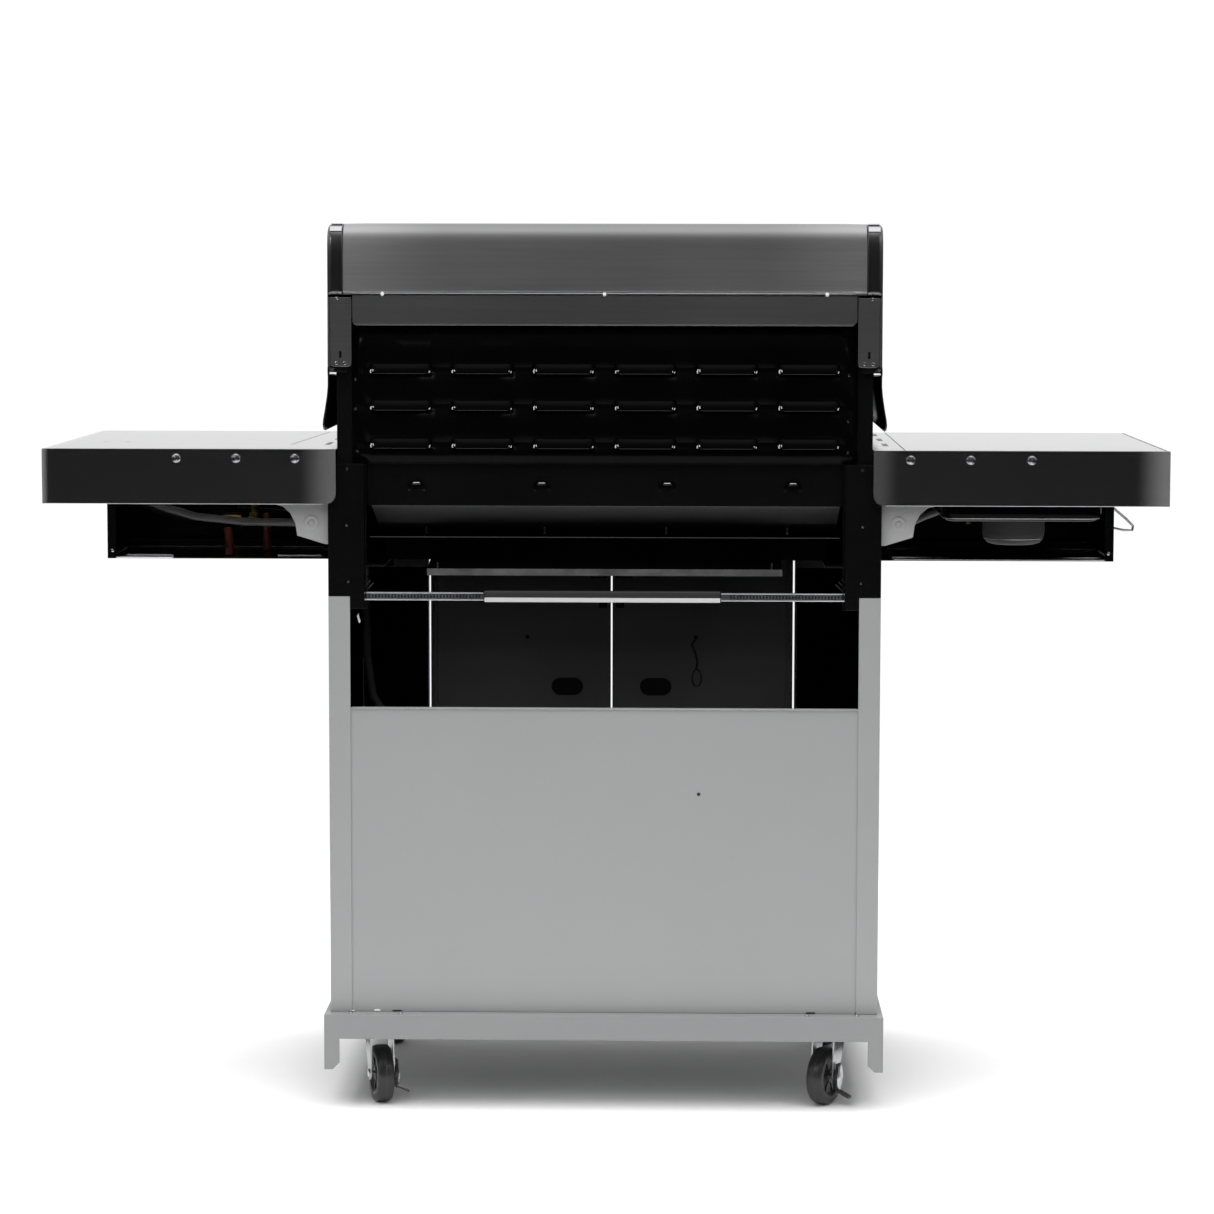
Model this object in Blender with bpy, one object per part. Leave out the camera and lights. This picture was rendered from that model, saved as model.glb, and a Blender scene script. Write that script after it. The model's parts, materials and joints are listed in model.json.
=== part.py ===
"""Gas barbecue grill: four burners, side burner, wheeled cabinet. Metres, +Z up, front faces -Y.

Left and right are those of a person standing at the front: left is -X, right is +X.
"""

import math

import bmesh
import bpy
from mathutils import Matrix, Vector

# Sheet, clearances
SHEET = 0.0015
HEAVY_SHEET = 0.002
FIT_GAP = 0.0003  # between pieces that touch on the real grill
SLIDE_GAP = 0.0005  # between pieces that turn or slide past each other
OVERLAP = 0.001  # how far joined shapes run into each other
CUT = 0.01  # how far a cutter runs past the wall

# Overall planes
REAR_Y = 0.283
BODY_REAR_Y = REAR_Y - 0.010
BODY_FRONT_Y = -0.2115

# Cabinet
CABINET_HALF = 0.357
CABINET_TOP = 0.671
REAR_FLANGE = 0.028
STILE_INNER = CABINET_HALF - 0.0965
REAR_PANEL_HALF = CABINET_HALF - 0.012
REAR_PANEL_TOP = 0.526
PANEL_HEM = 0.010

# Base tray
BASE_HALF = CABINET_HALF + 0.007
BASE_REAR_Y = REAR_Y + 0.010
BASE_FRONT_Y = BODY_FRONT_Y - 0.002
BASE_TOP = 0.1254
BASE_SKIRT = 0.032
END_SKIRT_BOTTOM = 0.053
END_FLANGE = 0.020
END_CHAMFER = 0.009
CASTER_PLATE = 0.030

# Doors
DOOR_TOP = 0.6905
DOOR_BOTTOM = 0.131
DOOR_THICK = 0.018
DOOR_GAP = 0.0025
DOOR_PIN_R = 0.005
DOOR_PIN_DEPTH = 0.003
HAND_HOLE_X = (0.041, 0.085)
HAND_HOLE_Z = (0.487, 0.511)
CATCH_X = (0.006, 0.018)
CATCH_Z = (0.600, 0.640)
CATCH_DEPTH = 0.004
DOOR_HANDLE_X = 0.062
DOOR_HANDLE_Z = (0.330, 0.560)
DOOR_HANDLE_R = 0.007
DOOR_HANDLE_POST_R = 0.005
DOOR_HANDLE_POST_IN = 0.022
DOOR_HANDLE_OUT = 0.028

# Firebox
FIREBOX_HALF = CABINET_HALF - 0.012
FIREBOX_FRONT = BODY_FRONT_Y + 0.0215
FIREBOX_REAR = REAR_Y - 0.015
SHOULDER = 0.843
WALL_FRONT_TOP = 0.905
WALL_REAR_TOP = 1.030
WALL_SLOPE_REAR = 0.080
WALL_SLOPE_FRONT = -0.120
TROUGH_HALF = FIREBOX_HALF - 0.038
TROUGH_FRONT = FIREBOX_FRONT + 0.015
TROUGH_REAR = FIREBOX_REAR - 0.006
HOPPER_TOP = 0.789
HOPPER_BOTTOM = 0.751
HOPPER_OUT_FRONT = TROUGH_FRONT + 0.125
HOPPER_OUT_REAR = TROUGH_REAR - 0.122
LEDGE_TOP = 0.866
LEDGE_WIDTH = 0.014
PEG_HALF = 0.003
PEG_REACH = 0.019
RACK_PEG_HALF = 0.005
RACK_PEG_REACH = 0.012
RACK_PEG_DEPTH = 0.008

# Louvred back
BACK_HALF = FIREBOX_HALF - 0.020
BACK_BOTTOM = SHOULDER + 0.001
BACK_TOP = WALL_REAR_TOP - 0.001
WINDOW_INSET = 0.012
LOUVRE_COLUMNS = 6
LOUVRE_PITCH = (BACK_HALF - 0.010) / 3
LOUVRE_HALF = LOUVRE_PITCH / 2 - 0.0125
LOUVRE_ROWS = (0.863, 0.912, 0.959)
LOUVRE_HEIGHT = 0.013
LOUVRE_LIP = 0.003
LOUVRE_DEPTH = 0.008

# Burners
BURNER_OUTER = TROUGH_HALF - 0.064
BURNER_INNER = BURNER_OUTER / 3
BURNER_X = (-BURNER_OUTER, -BURNER_INNER, BURNER_INNER, BURNER_OUTER)
BURNER_Z = 0.8165
BURNER_R = 0.0125
BELL_R = BURNER_R + 0.002
BELL_LENGTH = 0.012
BELL_TAPER = 0.022
BURNER_FRONT = TROUGH_FRONT - 0.025
BURNER_TAIL = TROUGH_REAR - 0.010
TAIL_HALF = 0.0055
TAIL_THICK = 0.001
SLOT_HALF = 0.0075
SLOT_HEIGHT = 0.005
TENT_HALF = 0.048
TENT_APEX = 0.8555
TENT_DROP = 0.018
TENT_FRONT = TROUGH_FRONT + 0.007
TENT_REAR = TROUGH_REAR - 0.0095

# Grates and rack
GRATE_TOP = 0.880
GRATE_BOTTOM = LEDGE_TOP + FIT_GAP
GRATE_SLOTS = 12
GRATE_BAR = 0.0095
GRATE_RIM = 0.012
GRATE_EDGE_GAP = 0.0015
RACK_HALF = FIREBOX_HALF - 0.003
RACK_FRONT = TROUGH_REAR - 0.157
RACK_REAR = TROUGH_REAR - 0.022
RACK_Z = 0.9973
RACK_ROD = 0.005
RACK_PITCH = 0.0515
RACK_WIRE = 0.004

# Upper supports
SUPPORT_TOP = SHOULDER - FIT_GAP
SUPPORT_FLANGE = 0.047
SUPPORT_FOOT = 0.655
FOOT_REAR_GAP = 0.012

# Grease tray and the rail that carries it
TRAY_HALF = TROUGH_HALF - 0.017
TRAY_FRONT = HOPPER_OUT_FRONT - 0.040
TRAY_REAR = HOPPER_OUT_REAR + 0.045
TRAY_RIM = 0.742
GRIP_HALF = TRAY_HALF - 0.0595
GRIP_TOP = 0.705
GRIP_BOTTOM = 0.6975
GRIP_REAR = BODY_REAR_Y - 0.015
GRIP_FOLD = 0.010
RAIL_LEDGE_TOP = 0.7117
RAIL_LEDGE_IN = TRAY_HALF - 0.006
RAIL_Z = (0.6665, 0.6765)
RAIL_DEPTH = 0.008
RAIL_LIP_INSET = 0.037
RAIL_LIP_Z = (0.6655, 0.6685)
SLEEVE_X = (-0.150, 0.155)
SLEEVE_Z = (0.6640, 0.6785)
SLEEVE_DEPTH = 0.010

# Shelves
SHELF_IN = FIREBOX_HALF + 0.0007
SHELF_OUT = CABINET_HALF + 0.368
SHELF_TOP = 0.862
SHELF_BOTTOM = 0.791
SHELF_FRONT = FIREBOX_FRONT - 0.010
SHELF_CORNER = 0.014
LID_IN = SHELF_IN + 0.0413
LID_OUT = SHELF_OUT - 0.0045
LID_FRONT = SHELF_FRONT + 0.007
LID_REAR = REAR_Y - 0.006
LID_THICK = 0.005
LID_GAP = 0.0015
BRACKET_IN = CABINET_HALF + FIT_GAP
BRACKET_OUT = CABINET_HALF + 0.071
BRACKET_BOTTOM = 0.738
BRACKET_SHOULDER = 0.790
BRACKET_CURVE = (0.030, 0.041)
BRACKET_TOE = 0.0047
BRACKET_FRONT = SHELF_FRONT + 0.050
BRACKET_REAR = REAR_Y - 0.021

# Side burner
SIDE_X = 0.00875 - (LID_IN + LID_OUT) / 2
SIDE_Y = 0.070 + (REAR_Y - 0.283) / 2
PAN_HALF_X = 0.112
PAN_HALF_Y = 0.130
PAN_FLOOR = 0.765
PAN_WALL_IN = 0.008
PAN_HOLE_IN = 0.006
BOWL_R = 0.041
BOWL_BOTTOM = 0.727
BOWL_ROUND = 0.012
FEED_Z = 0.7775
FEED_R = 0.0075
HEAD_R = 0.042
HEAD_BOTTOM = 0.800
HEAD_TOP = 0.826
STALK_R = 0.012
PLUG_R = 0.010
SIDE_GRATE_HALF = 0.094
SIDE_GRATE_DEPTH = 0.007

# Control panel
PANEL_HALF = SHELF_OUT - 0.035
PANEL_FACE = SHELF_FRONT - 0.045
PANEL_TOP = 0.858
PANEL_BOTTOM = 0.695
PANEL_LIP_BOTTOM = 0.840
PANEL_WING_REAR = SHELF_FRONT + 0.183
PANEL_ROUND = 0.012
KNOB_Z = 0.790
KNOB_R = 0.0225
KNOB_DEPTH = 0.036
STEM_R = 0.003
STEM_HOLE_R = 0.006
BUTTON_X = CABINET_HALF - 0.012
BUTTON_R = 0.009
BUTTON_LIP_R = 0.012
BUTTON_OUT = 0.009
HOOK_Y = -0.060
HOOK_PLATE_Z = (0.730, 0.774)
HOOK_WIRE = ((0.003, 0.766), (0.020, 0.752), (0.031, 0.741), (0.030, 0.735), (0.018, 0.735), (0.003, 0.738))
HOOK_R = 0.002

# Gas
MANIFOLD_Y = PANEL_FACE + 0.0285
MANIFOLD_Z = 0.786
MANIFOLD_R = 0.007
VALVE_HALF = 0.011
VALVE_DEPTH = 0.019
JET_R = 0.0035
INLET_X = SHELF_OUT - 0.169
INLET_Z = 0.733
INLET_NUT_R = 0.0115
HOSE_R = 0.0055
HOSE_Y = -0.030
HOSE_HOLE_Z = 0.745
HOSE_HOLE_R = 0.009
HOSE_SLOT = 0.012
REGULATOR_IN = 0.052
REGULATOR_Z = 0.420
# The hose's route: how far beyond the cabinet side, then y and z
HOSE_PATH = (
    (0.228, -0.2150, 0.734),
    (0.265, -0.2060, 0.740),
    (0.293, -0.1800, 0.752),
    (0.305, -0.1400, 0.765),
    (0.303, -0.1000, 0.774),
    (0.288, -0.0650, 0.773),
    (0.258, -0.0420, 0.764),
    (0.213, -0.0320, 0.752),
    (0.143, HOSE_Y, 0.745),
    (0.063, HOSE_Y, 0.744),
    (0.023, HOSE_Y, HOSE_HOLE_Z),
    (-0.007, HOSE_Y, HOSE_HOLE_Z),
    (-0.016, HOSE_Y, 0.738),
    (-0.020, HOSE_Y, 0.720),
    (-0.021, HOSE_Y, 0.640),
    (-0.023, HOSE_Y, 0.560),
    (-0.031, HOSE_Y, 0.505),
    (-0.047, HOSE_Y, 0.480),
    (-REGULATOR_IN, HOSE_Y, 0.462),
    (-REGULATOR_IN, HOSE_Y, 0.4505),
)

# Hood
HOOD_HALF = FIREBOX_HALF + 0.0105
HOOD_CAP = 0.0195
HOOD_FRONT = BODY_FRONT_Y - 0.0015
HOOD_REAR = REAR_Y - 0.005
HOOD_BOTTOM = 0.887
HOOD_LEDGE = 1.060
CAP_DROP = 0.0012
HOOD_LINE = (
    (HOOD_FRONT, HOOD_BOTTOM),
    (HOOD_FRONT + 0.0070, 1.0050),
    (HOOD_FRONT + 0.0200, 1.0500),
    (HOOD_FRONT + 0.0490, 1.0960),
    (HOOD_FRONT + 0.0950, 1.1290),
    (HOOD_FRONT + 0.1580, 1.1470),
    (HOOD_FRONT + 0.2330, 1.1515),
    (HOOD_REAR - 0.0340, 1.1515),
    (HOOD_REAR - 0.0170, 1.1490),
    (HOOD_REAR - 0.0060, 1.1400),
    (HOOD_REAR - 0.0010, 1.1240),
    (HOOD_REAR, HOOD_LEDGE),
)
HINGE_Y = REAR_Y - 0.021
HINGE_Z = 0.962
HINGE_PIN_R = 0.006
CAP_INSET = 0.003
FLANGE_BOTTOM = 0.968
FLANGE_CORNER = 0.006
FLARE_TOP = 0.945
FLARE_WIDEST = 0.900
FLARE_OUT = 0.006
BAFFLE_BOTTOM = 1.021
BAFFLE_HALF = HOOD_HALF - 0.0323
BAFFLE_CORNER = 0.004
LIP_DEPTH = 0.014
HANDLE_HALF = HOOD_HALF - 0.0855
HANDLE_Y = HOOD_FRONT - 0.0675
HANDLE_Z = 0.915
HANDLE_R = 0.0125
HANDLE_FOOT_IN = 0.018
HANDLE_FOOT_HALF = 0.014
GAUGE_SHARE = 0.72  # how far up the hood's straight front the thermometer sits
GAUGE_R = 0.036
GAUGE_DEPTH = 0.013
PROBE_R = 0.0045
PROBE_HOLE_R = 0.0055
PROBE_LENGTH = 0.018

# Casters
CASTER_X = CABINET_HALF - 0.058
CASTER_REAR_Y = REAR_Y - 0.059
CASTER_FRONT_Y = BODY_FRONT_Y + 0.0785
CASTER_YAW = {"rear_right": 286.0, "rear_left": 244.0, "front_right": 262.0, "front_left": 283.0}
WHEEL_R = 0.0375
WHEEL_HALF = 0.0115
TRAIL = 0.020
PLATE_BOTTOM = 0.1206
CROWN_Z = (0.099, 0.110)
RACE_R = 0.021
FORK_HALF = 0.0160
FORK_SHEET = 0.002
HUB_R = 0.009
AXLE_R = 0.0035
BRAKE_PLATE_R = 0.010
BRAKE_PLATE_DEPTH = 0.005
BRAKE_WING = (
    (-0.006, -0.020),
    (0.006, -0.020),
    (0.008, 0.0),
    (0.005, 0.018),
    (-0.005, 0.018),
    (-0.008, 0.0),
)
PEDAL_HALF = 0.0055
PEDAL_LINE = ((0.002, -0.019), (0.002, -0.0165), (0.020, -0.0245), (0.020, -0.027))


def material(name, colour, roughness, metallic):
    made = bpy.data.materials.new(name)
    made.use_nodes = True
    shader = made.node_tree.nodes["Principled BSDF"]
    shader.inputs["Base Color"].default_value = (*colour, 1.0)
    shader.inputs["Roughness"].default_value = roughness
    shader.inputs["Metallic"].default_value = metallic
    return made


def shape_of(mesh_builder):
    """A helper object from a bmesh, hidden from the render until it is kept as a piece."""
    bmesh.ops.recalc_face_normals(mesh_builder, faces=mesh_builder.faces)
    mesh = bpy.data.meshes.new("shape")
    mesh_builder.to_mesh(mesh)
    mesh_builder.free()
    made = bpy.data.objects.new("shape", mesh)
    bpy.context.scene.collection.objects.link(made)
    made.hide_render = True
    made.display_type = "WIRE"
    return made


def prism(outline, axis, start, end):
    """A closed outline pushed along an axis: outline is (y, z) for X, (x, z) for Y and (x, y) for Z."""
    place = {
        "X": lambda a, b, along: (along, a, b),
        "Y": lambda a, b, along: (a, along, b),
        "Z": lambda a, b, along: (a, b, along),
    }[axis]
    made = bmesh.new()
    first = [made.verts.new(place(a, b, start)) for a, b in outline]
    last = [made.verts.new(place(a, b, end)) for a, b in outline]
    made.faces.new(first)
    made.faces.new(last)
    for i in range(len(outline)):
        j = (i + 1) % len(outline)
        made.faces.new((first[i], first[j], last[j], last[i]))
    return shape_of(made)


def box(x0, x1, y0, y1, z0, z1):
    return prism([(x0, y0), (x1, y0), (x1, y1), (x0, y1)], "Z", z0, z1)


def bent(line, thick, axis, start, end):
    """A sheet folded along an open line of points, its thickness on the left of the line."""
    points = [Vector(p) for p in line]
    left = []
    for i, point in enumerate(points):
        before = (point - points[i - 1]).normalized() if i else None
        after = (points[i + 1] - point).normalized() if i + 1 < len(points) else None
        before = before or after
        after = after or before
        normal = Vector((-before.y - after.y, before.x + after.x)).normalized()
        lean = normal.dot(Vector((-after.y, after.x)))
        left.append(point + normal * thick / lean)
    outline = [tuple(p) for p in points] + [tuple(p) for p in reversed(left)]
    return prism(outline, axis, start, end)


def lathe(profile, centre, axis, segments):
    """A closed (radius, height) profile turned about an axis through centre; height runs along the axis."""
    turn = {
        "X": lambda r, h, c, s: (h, r * c, r * s),
        "Y": lambda r, h, c, s: (r * s, h, r * c),
        "Z": lambda r, h, c, s: (r * c, r * s, h),
    }[axis]
    made = bmesh.new()
    rings = []
    for radius, height in profile:
        if radius == 0.0:
            rings.append([made.verts.new(Vector(turn(0.0, height, 1.0, 0.0)) + Vector(centre))])
            continue
        ring = []
        for i in range(segments):
            angle = 2.0 * math.pi * i / segments
            spot = Vector(turn(radius, height, math.cos(angle), math.sin(angle)))
            ring.append(made.verts.new(spot + Vector(centre)))
        rings.append(ring)
    closed_loop = profile[0][0] != 0.0
    pairs = list(zip(rings, rings[1:] + rings[:1])) if closed_loop else list(zip(rings, rings[1:]))
    for one, two in pairs:
        for i in range(segments):
            j = (i + 1) % segments
            corners = [one[i % len(one)], one[j % len(one)], two[j % len(two)], two[i % len(two)]]
            kept = list(dict.fromkeys(corners))
            if len(kept) > 2:
                made.faces.new(kept)
    return shape_of(made)


def rod(start, end, radius, segments):
    return tube([start, end], radius, segments)


def tube(path, radius, segments):
    """A solid round bar swept along a path of points."""
    points = [Vector(p) for p in path]
    made = bmesh.new()
    rings = []
    side = None
    for i, point in enumerate(points):
        before = (point - points[i - 1]).normalized() if i else None
        after = (points[i + 1] - point).normalized() if i + 1 < len(points) else None
        before = before or after
        after = after or before
        along = (before + after).normalized()
        if side is None:
            side = along.orthogonal().normalized()
        side = (side - along * side.dot(along)).normalized()
        other = along.cross(side)
        ring = []
        for k in range(segments):
            angle = 2.0 * math.pi * k / segments
            offset = side * math.cos(angle) + other * math.sin(angle)
            ring.append(made.verts.new(point + offset * radius))
        rings.append(ring)
    made.faces.new(rings[0])
    made.faces.new(rings[-1])
    for one, two in zip(rings, rings[1:]):
        for k in range(segments):
            j = (k + 1) % segments
            made.faces.new((one[k], one[j], two[j], two[k]))
    return shape_of(made)


def slotted_plate(xs, ys, z0, z1, open_cell):
    """A plate cut into cells at xs and ys, with the cells left out where open_cell(i, j) holds."""
    made = bmesh.new()
    corner = {}

    def spot(i, j, z):
        key = (i, j, z)
        if key not in corner:
            corner[key] = made.verts.new((xs[i], ys[j], z))
        return corner[key]

    columns = len(xs) - 1
    rows = len(ys) - 1

    def solid(i, j):
        return 0 <= i < columns and 0 <= j < rows and not open_cell(i, j)

    for i in range(columns):
        for j in range(rows):
            if not solid(i, j):
                continue
            for z in (z0, z1):
                cell = ((i, j), (i + 1, j), (i + 1, j + 1), (i, j + 1))
                made.faces.new([spot(a, b, z) for a, b in cell])
            walls = (
                ((i - 1, j), (i, j), (i, j + 1)),
                ((i + 1, j), (i + 1, j), (i + 1, j + 1)),
                ((i, j - 1), (i, j), (i + 1, j)),
                ((i, j + 1), (i, j + 1), (i + 1, j + 1)),
            )
            for beside, a, b in walls:
                if not solid(*beside):
                    made.faces.new([spot(*a, z0), spot(*b, z0), spot(*b, z1), spot(*a, z1)])
    bmesh.ops.recalc_face_normals(made, faces=made.faces)
    bmesh.ops.dissolve_limit(made, angle_limit=0.001, verts=made.verts, edges=made.edges)
    return shape_of(made)


def piece(name, surface, solids, cutters=(), pivot=None, place=None):
    """One named piece: the solids joined, the cutters taken out, then placed. pivot becomes its origin."""
    kept = solids[0]
    work = [(other, "UNION") for other in solids[1:]]
    work += [(other, "DIFFERENCE") for other in cutters]
    for index, (other, operation) in enumerate(work):
        step = kept.modifiers.new(f"step_{index}", "BOOLEAN")
        step.operation = operation
        step.object = other
        step.solver = "EXACT"
    bpy.context.view_layer.update()
    graph = bpy.context.evaluated_depsgraph_get()
    mesh = bpy.data.meshes.new_from_object(kept.evaluated_get(graph))
    for helper in [kept] + [other for other, _ in work]:
        bpy.data.objects.remove(helper)
    mesh.name = name
    if place is not None:
        mesh.transform(place)
    if pivot is not None:
        mesh.transform(Matrix.Translation(-Vector(pivot)))
    for face in mesh.polygons:
        face.use_smooth = True
    mesh.set_sharp_from_angle(angle=math.radians(35.0))
    mesh.materials.clear()
    mesh.materials.append(surface)
    made = bpy.data.objects.new(name, mesh)
    made.location = pivot or (0.0, 0.0, 0.0)
    bpy.context.scene.collection.objects.link(made)
    return made


def both_sides(outline, side):
    """An outline of (x, other) points for the +X side, mirrored when side is -1."""
    return [(side * a, b) for a, b in outline]


def span(side, a, b):
    """Two X values for the +X side, in rising order on either side."""
    return (a, b) if side > 0 else (-b, -a)


def base_tray():
    top = BASE_TOP
    solids = [box(-BASE_HALF, BASE_HALF, BASE_FRONT_Y, BASE_REAR_Y, top - SHEET, top)]
    for y0, y1 in ((BASE_FRONT_Y, BASE_FRONT_Y + HEAVY_SHEET), (BASE_REAR_Y - HEAVY_SHEET, BASE_REAR_Y)):
        solids.append(box(-BASE_HALF, BASE_HALF, y0, y1, top - BASE_SKIRT, top - SHEET / 2))
        for side in (-1, 1):
            flange = [
                (BASE_HALF, top - SHEET / 2),
                (BASE_HALF, END_SKIRT_BOTTOM),
                (BASE_HALF - END_FLANGE + END_CHAMFER, END_SKIRT_BOTTOM),
                (BASE_HALF - END_FLANGE, END_SKIRT_BOTTOM + END_CHAMFER),
                (BASE_HALF - END_FLANGE, top - SHEET / 2),
            ]
            solids.append(prism(both_sides(flange, side), "Y", y0, y1))
    for side in (-1, 1):
        x0, x1 = span(side, BASE_HALF - HEAVY_SHEET, BASE_HALF)
        solids.append(box(x0, x1, BASE_FRONT_Y, BASE_REAR_Y, END_SKIRT_BOTTOM, top - SHEET / 2))
        x = side * CASTER_X
        half = CASTER_PLATE
        for y in (CASTER_REAR_Y, CASTER_FRONT_Y):
            solids.append(box(x - half, x + half, y - half, y + half, PLATE_BOTTOM, top - SHEET / 2))
    piece("base_tray", GREY_PAINT, solids)


def side_panels():
    for side, name in ((-1, "side_panel_left"), (1, "side_panel_right")):
        low = BASE_TOP + FIT_GAP
        x0, x1 = span(side, CABINET_HALF - SHEET, CABINET_HALF)
        wall = box(x0, x1, BODY_FRONT_Y, BODY_REAR_Y, low, CABINET_TOP)
        x0, x1 = span(side, CABINET_HALF - REAR_FLANGE, CABINET_HALF)
        flange = box(x0, x1, BODY_REAR_Y - SHEET, BODY_REAR_Y, low, CABINET_TOP)
        x0, x1 = span(side, STILE_INNER, CABINET_HALF)
        stile = box(x0, x1, BODY_FRONT_Y, BODY_FRONT_Y + SHEET, low, PANEL_BOTTOM - FIT_GAP)
        x0, x1 = span(side, STILE_INNER, STILE_INNER + SHEET)
        hem = box(x0, x1, BODY_FRONT_Y, BODY_FRONT_Y + DOOR_THICK, low, PANEL_BOTTOM - FIT_GAP)
        piece(name, GREY_PAINT, [wall, flange, stile, hem])


def rear_panel():
    y1 = BODY_REAR_Y - SHEET - FIT_GAP
    low = BASE_TOP + FIT_GAP
    sheet = box(-REAR_PANEL_HALF, REAR_PANEL_HALF, y1 - SHEET, y1, low, REAR_PANEL_TOP)
    half = CABINET_HALF - REAR_FLANGE - FIT_GAP
    hem = box(-half, half, y1 - PANEL_HEM, y1 + SHEET, REAR_PANEL_TOP - SHEET, REAR_PANEL_TOP)
    piece("rear_panel", GREY_PAINT, [sheet, hem])


def supports():
    for side, name in ((-1, "upper_support_left"), (1, "upper_support_right")):
        low = CABINET_TOP + FIT_GAP
        x0, x1 = span(side, CABINET_HALF - SHEET, CABINET_HALF)
        wall = box(x0, x1, FIREBOX_FRONT, BODY_REAR_Y, low, SUPPORT_TOP)
        inner = CABINET_HALF - SUPPORT_FLANGE
        step = CABINET_HALF - REAR_FLANGE - FIT_GAP
        outline = [
            (CABINET_HALF, low),
            (CABINET_HALF, SUPPORT_TOP),
            (inner, SUPPORT_TOP),
            (inner, SUPPORT_FOOT),
            (step, SUPPORT_FOOT),
            (step, low),
        ]
        rear = prism(both_sides(outline, side), "Y", BODY_REAR_Y - SHEET, BODY_REAR_Y)
        x0, x1 = span(side, inner, CABINET_HALF)
        front = box(x0, x1, FIREBOX_FRONT, FIREBOX_FRONT + SHEET, low, SUPPORT_TOP)
        top = box(x0, x1, FIREBOX_FRONT, BODY_REAR_Y, SUPPORT_TOP - SHEET, SUPPORT_TOP)
        x0, x1 = span(side, step, CABINET_HALF)
        foot = box(x0, x1, FIREBOX_FRONT, BODY_REAR_Y - FOOT_REAR_GAP, low, low + SHEET)
        x0, x1 = span(side, RAIL_LEDGE_IN, CABINET_HALF - OVERLAP)
        ledge_low = RAIL_LEDGE_TOP - SHEET
        ledge = box(x0, x1, FIREBOX_FRONT + OVERLAP, BODY_REAR_Y - OVERLAP, ledge_low, RAIL_LEDGE_TOP)
        cutters = []
        if side > 0:
            cutters.append(hose_hole(CABINET_HALF - CUT, CABINET_HALF + CUT))
            slot_in = step - 2 * FIT_GAP - SHEET
            slot_out = CABINET_HALF - SHEET - HEAVY_SHEET
            slot_y = (HOSE_Y - HOSE_SLOT, HOSE_Y + HOSE_SLOT)
            for z in (low, RAIL_LEDGE_TOP):
                cutters.append(box(slot_in, slot_out, *slot_y, z - CUT, z + CUT))
        piece(name, BLACK_ENAMEL, [wall, rear, front, top, foot, ledge], cutters)


def hose_hole(x0, x1):
    return rod((x0, HOSE_Y, HOSE_HOLE_Z), (x1, HOSE_Y, HOSE_HOLE_Z), HOSE_HOLE_R, 16)


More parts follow.
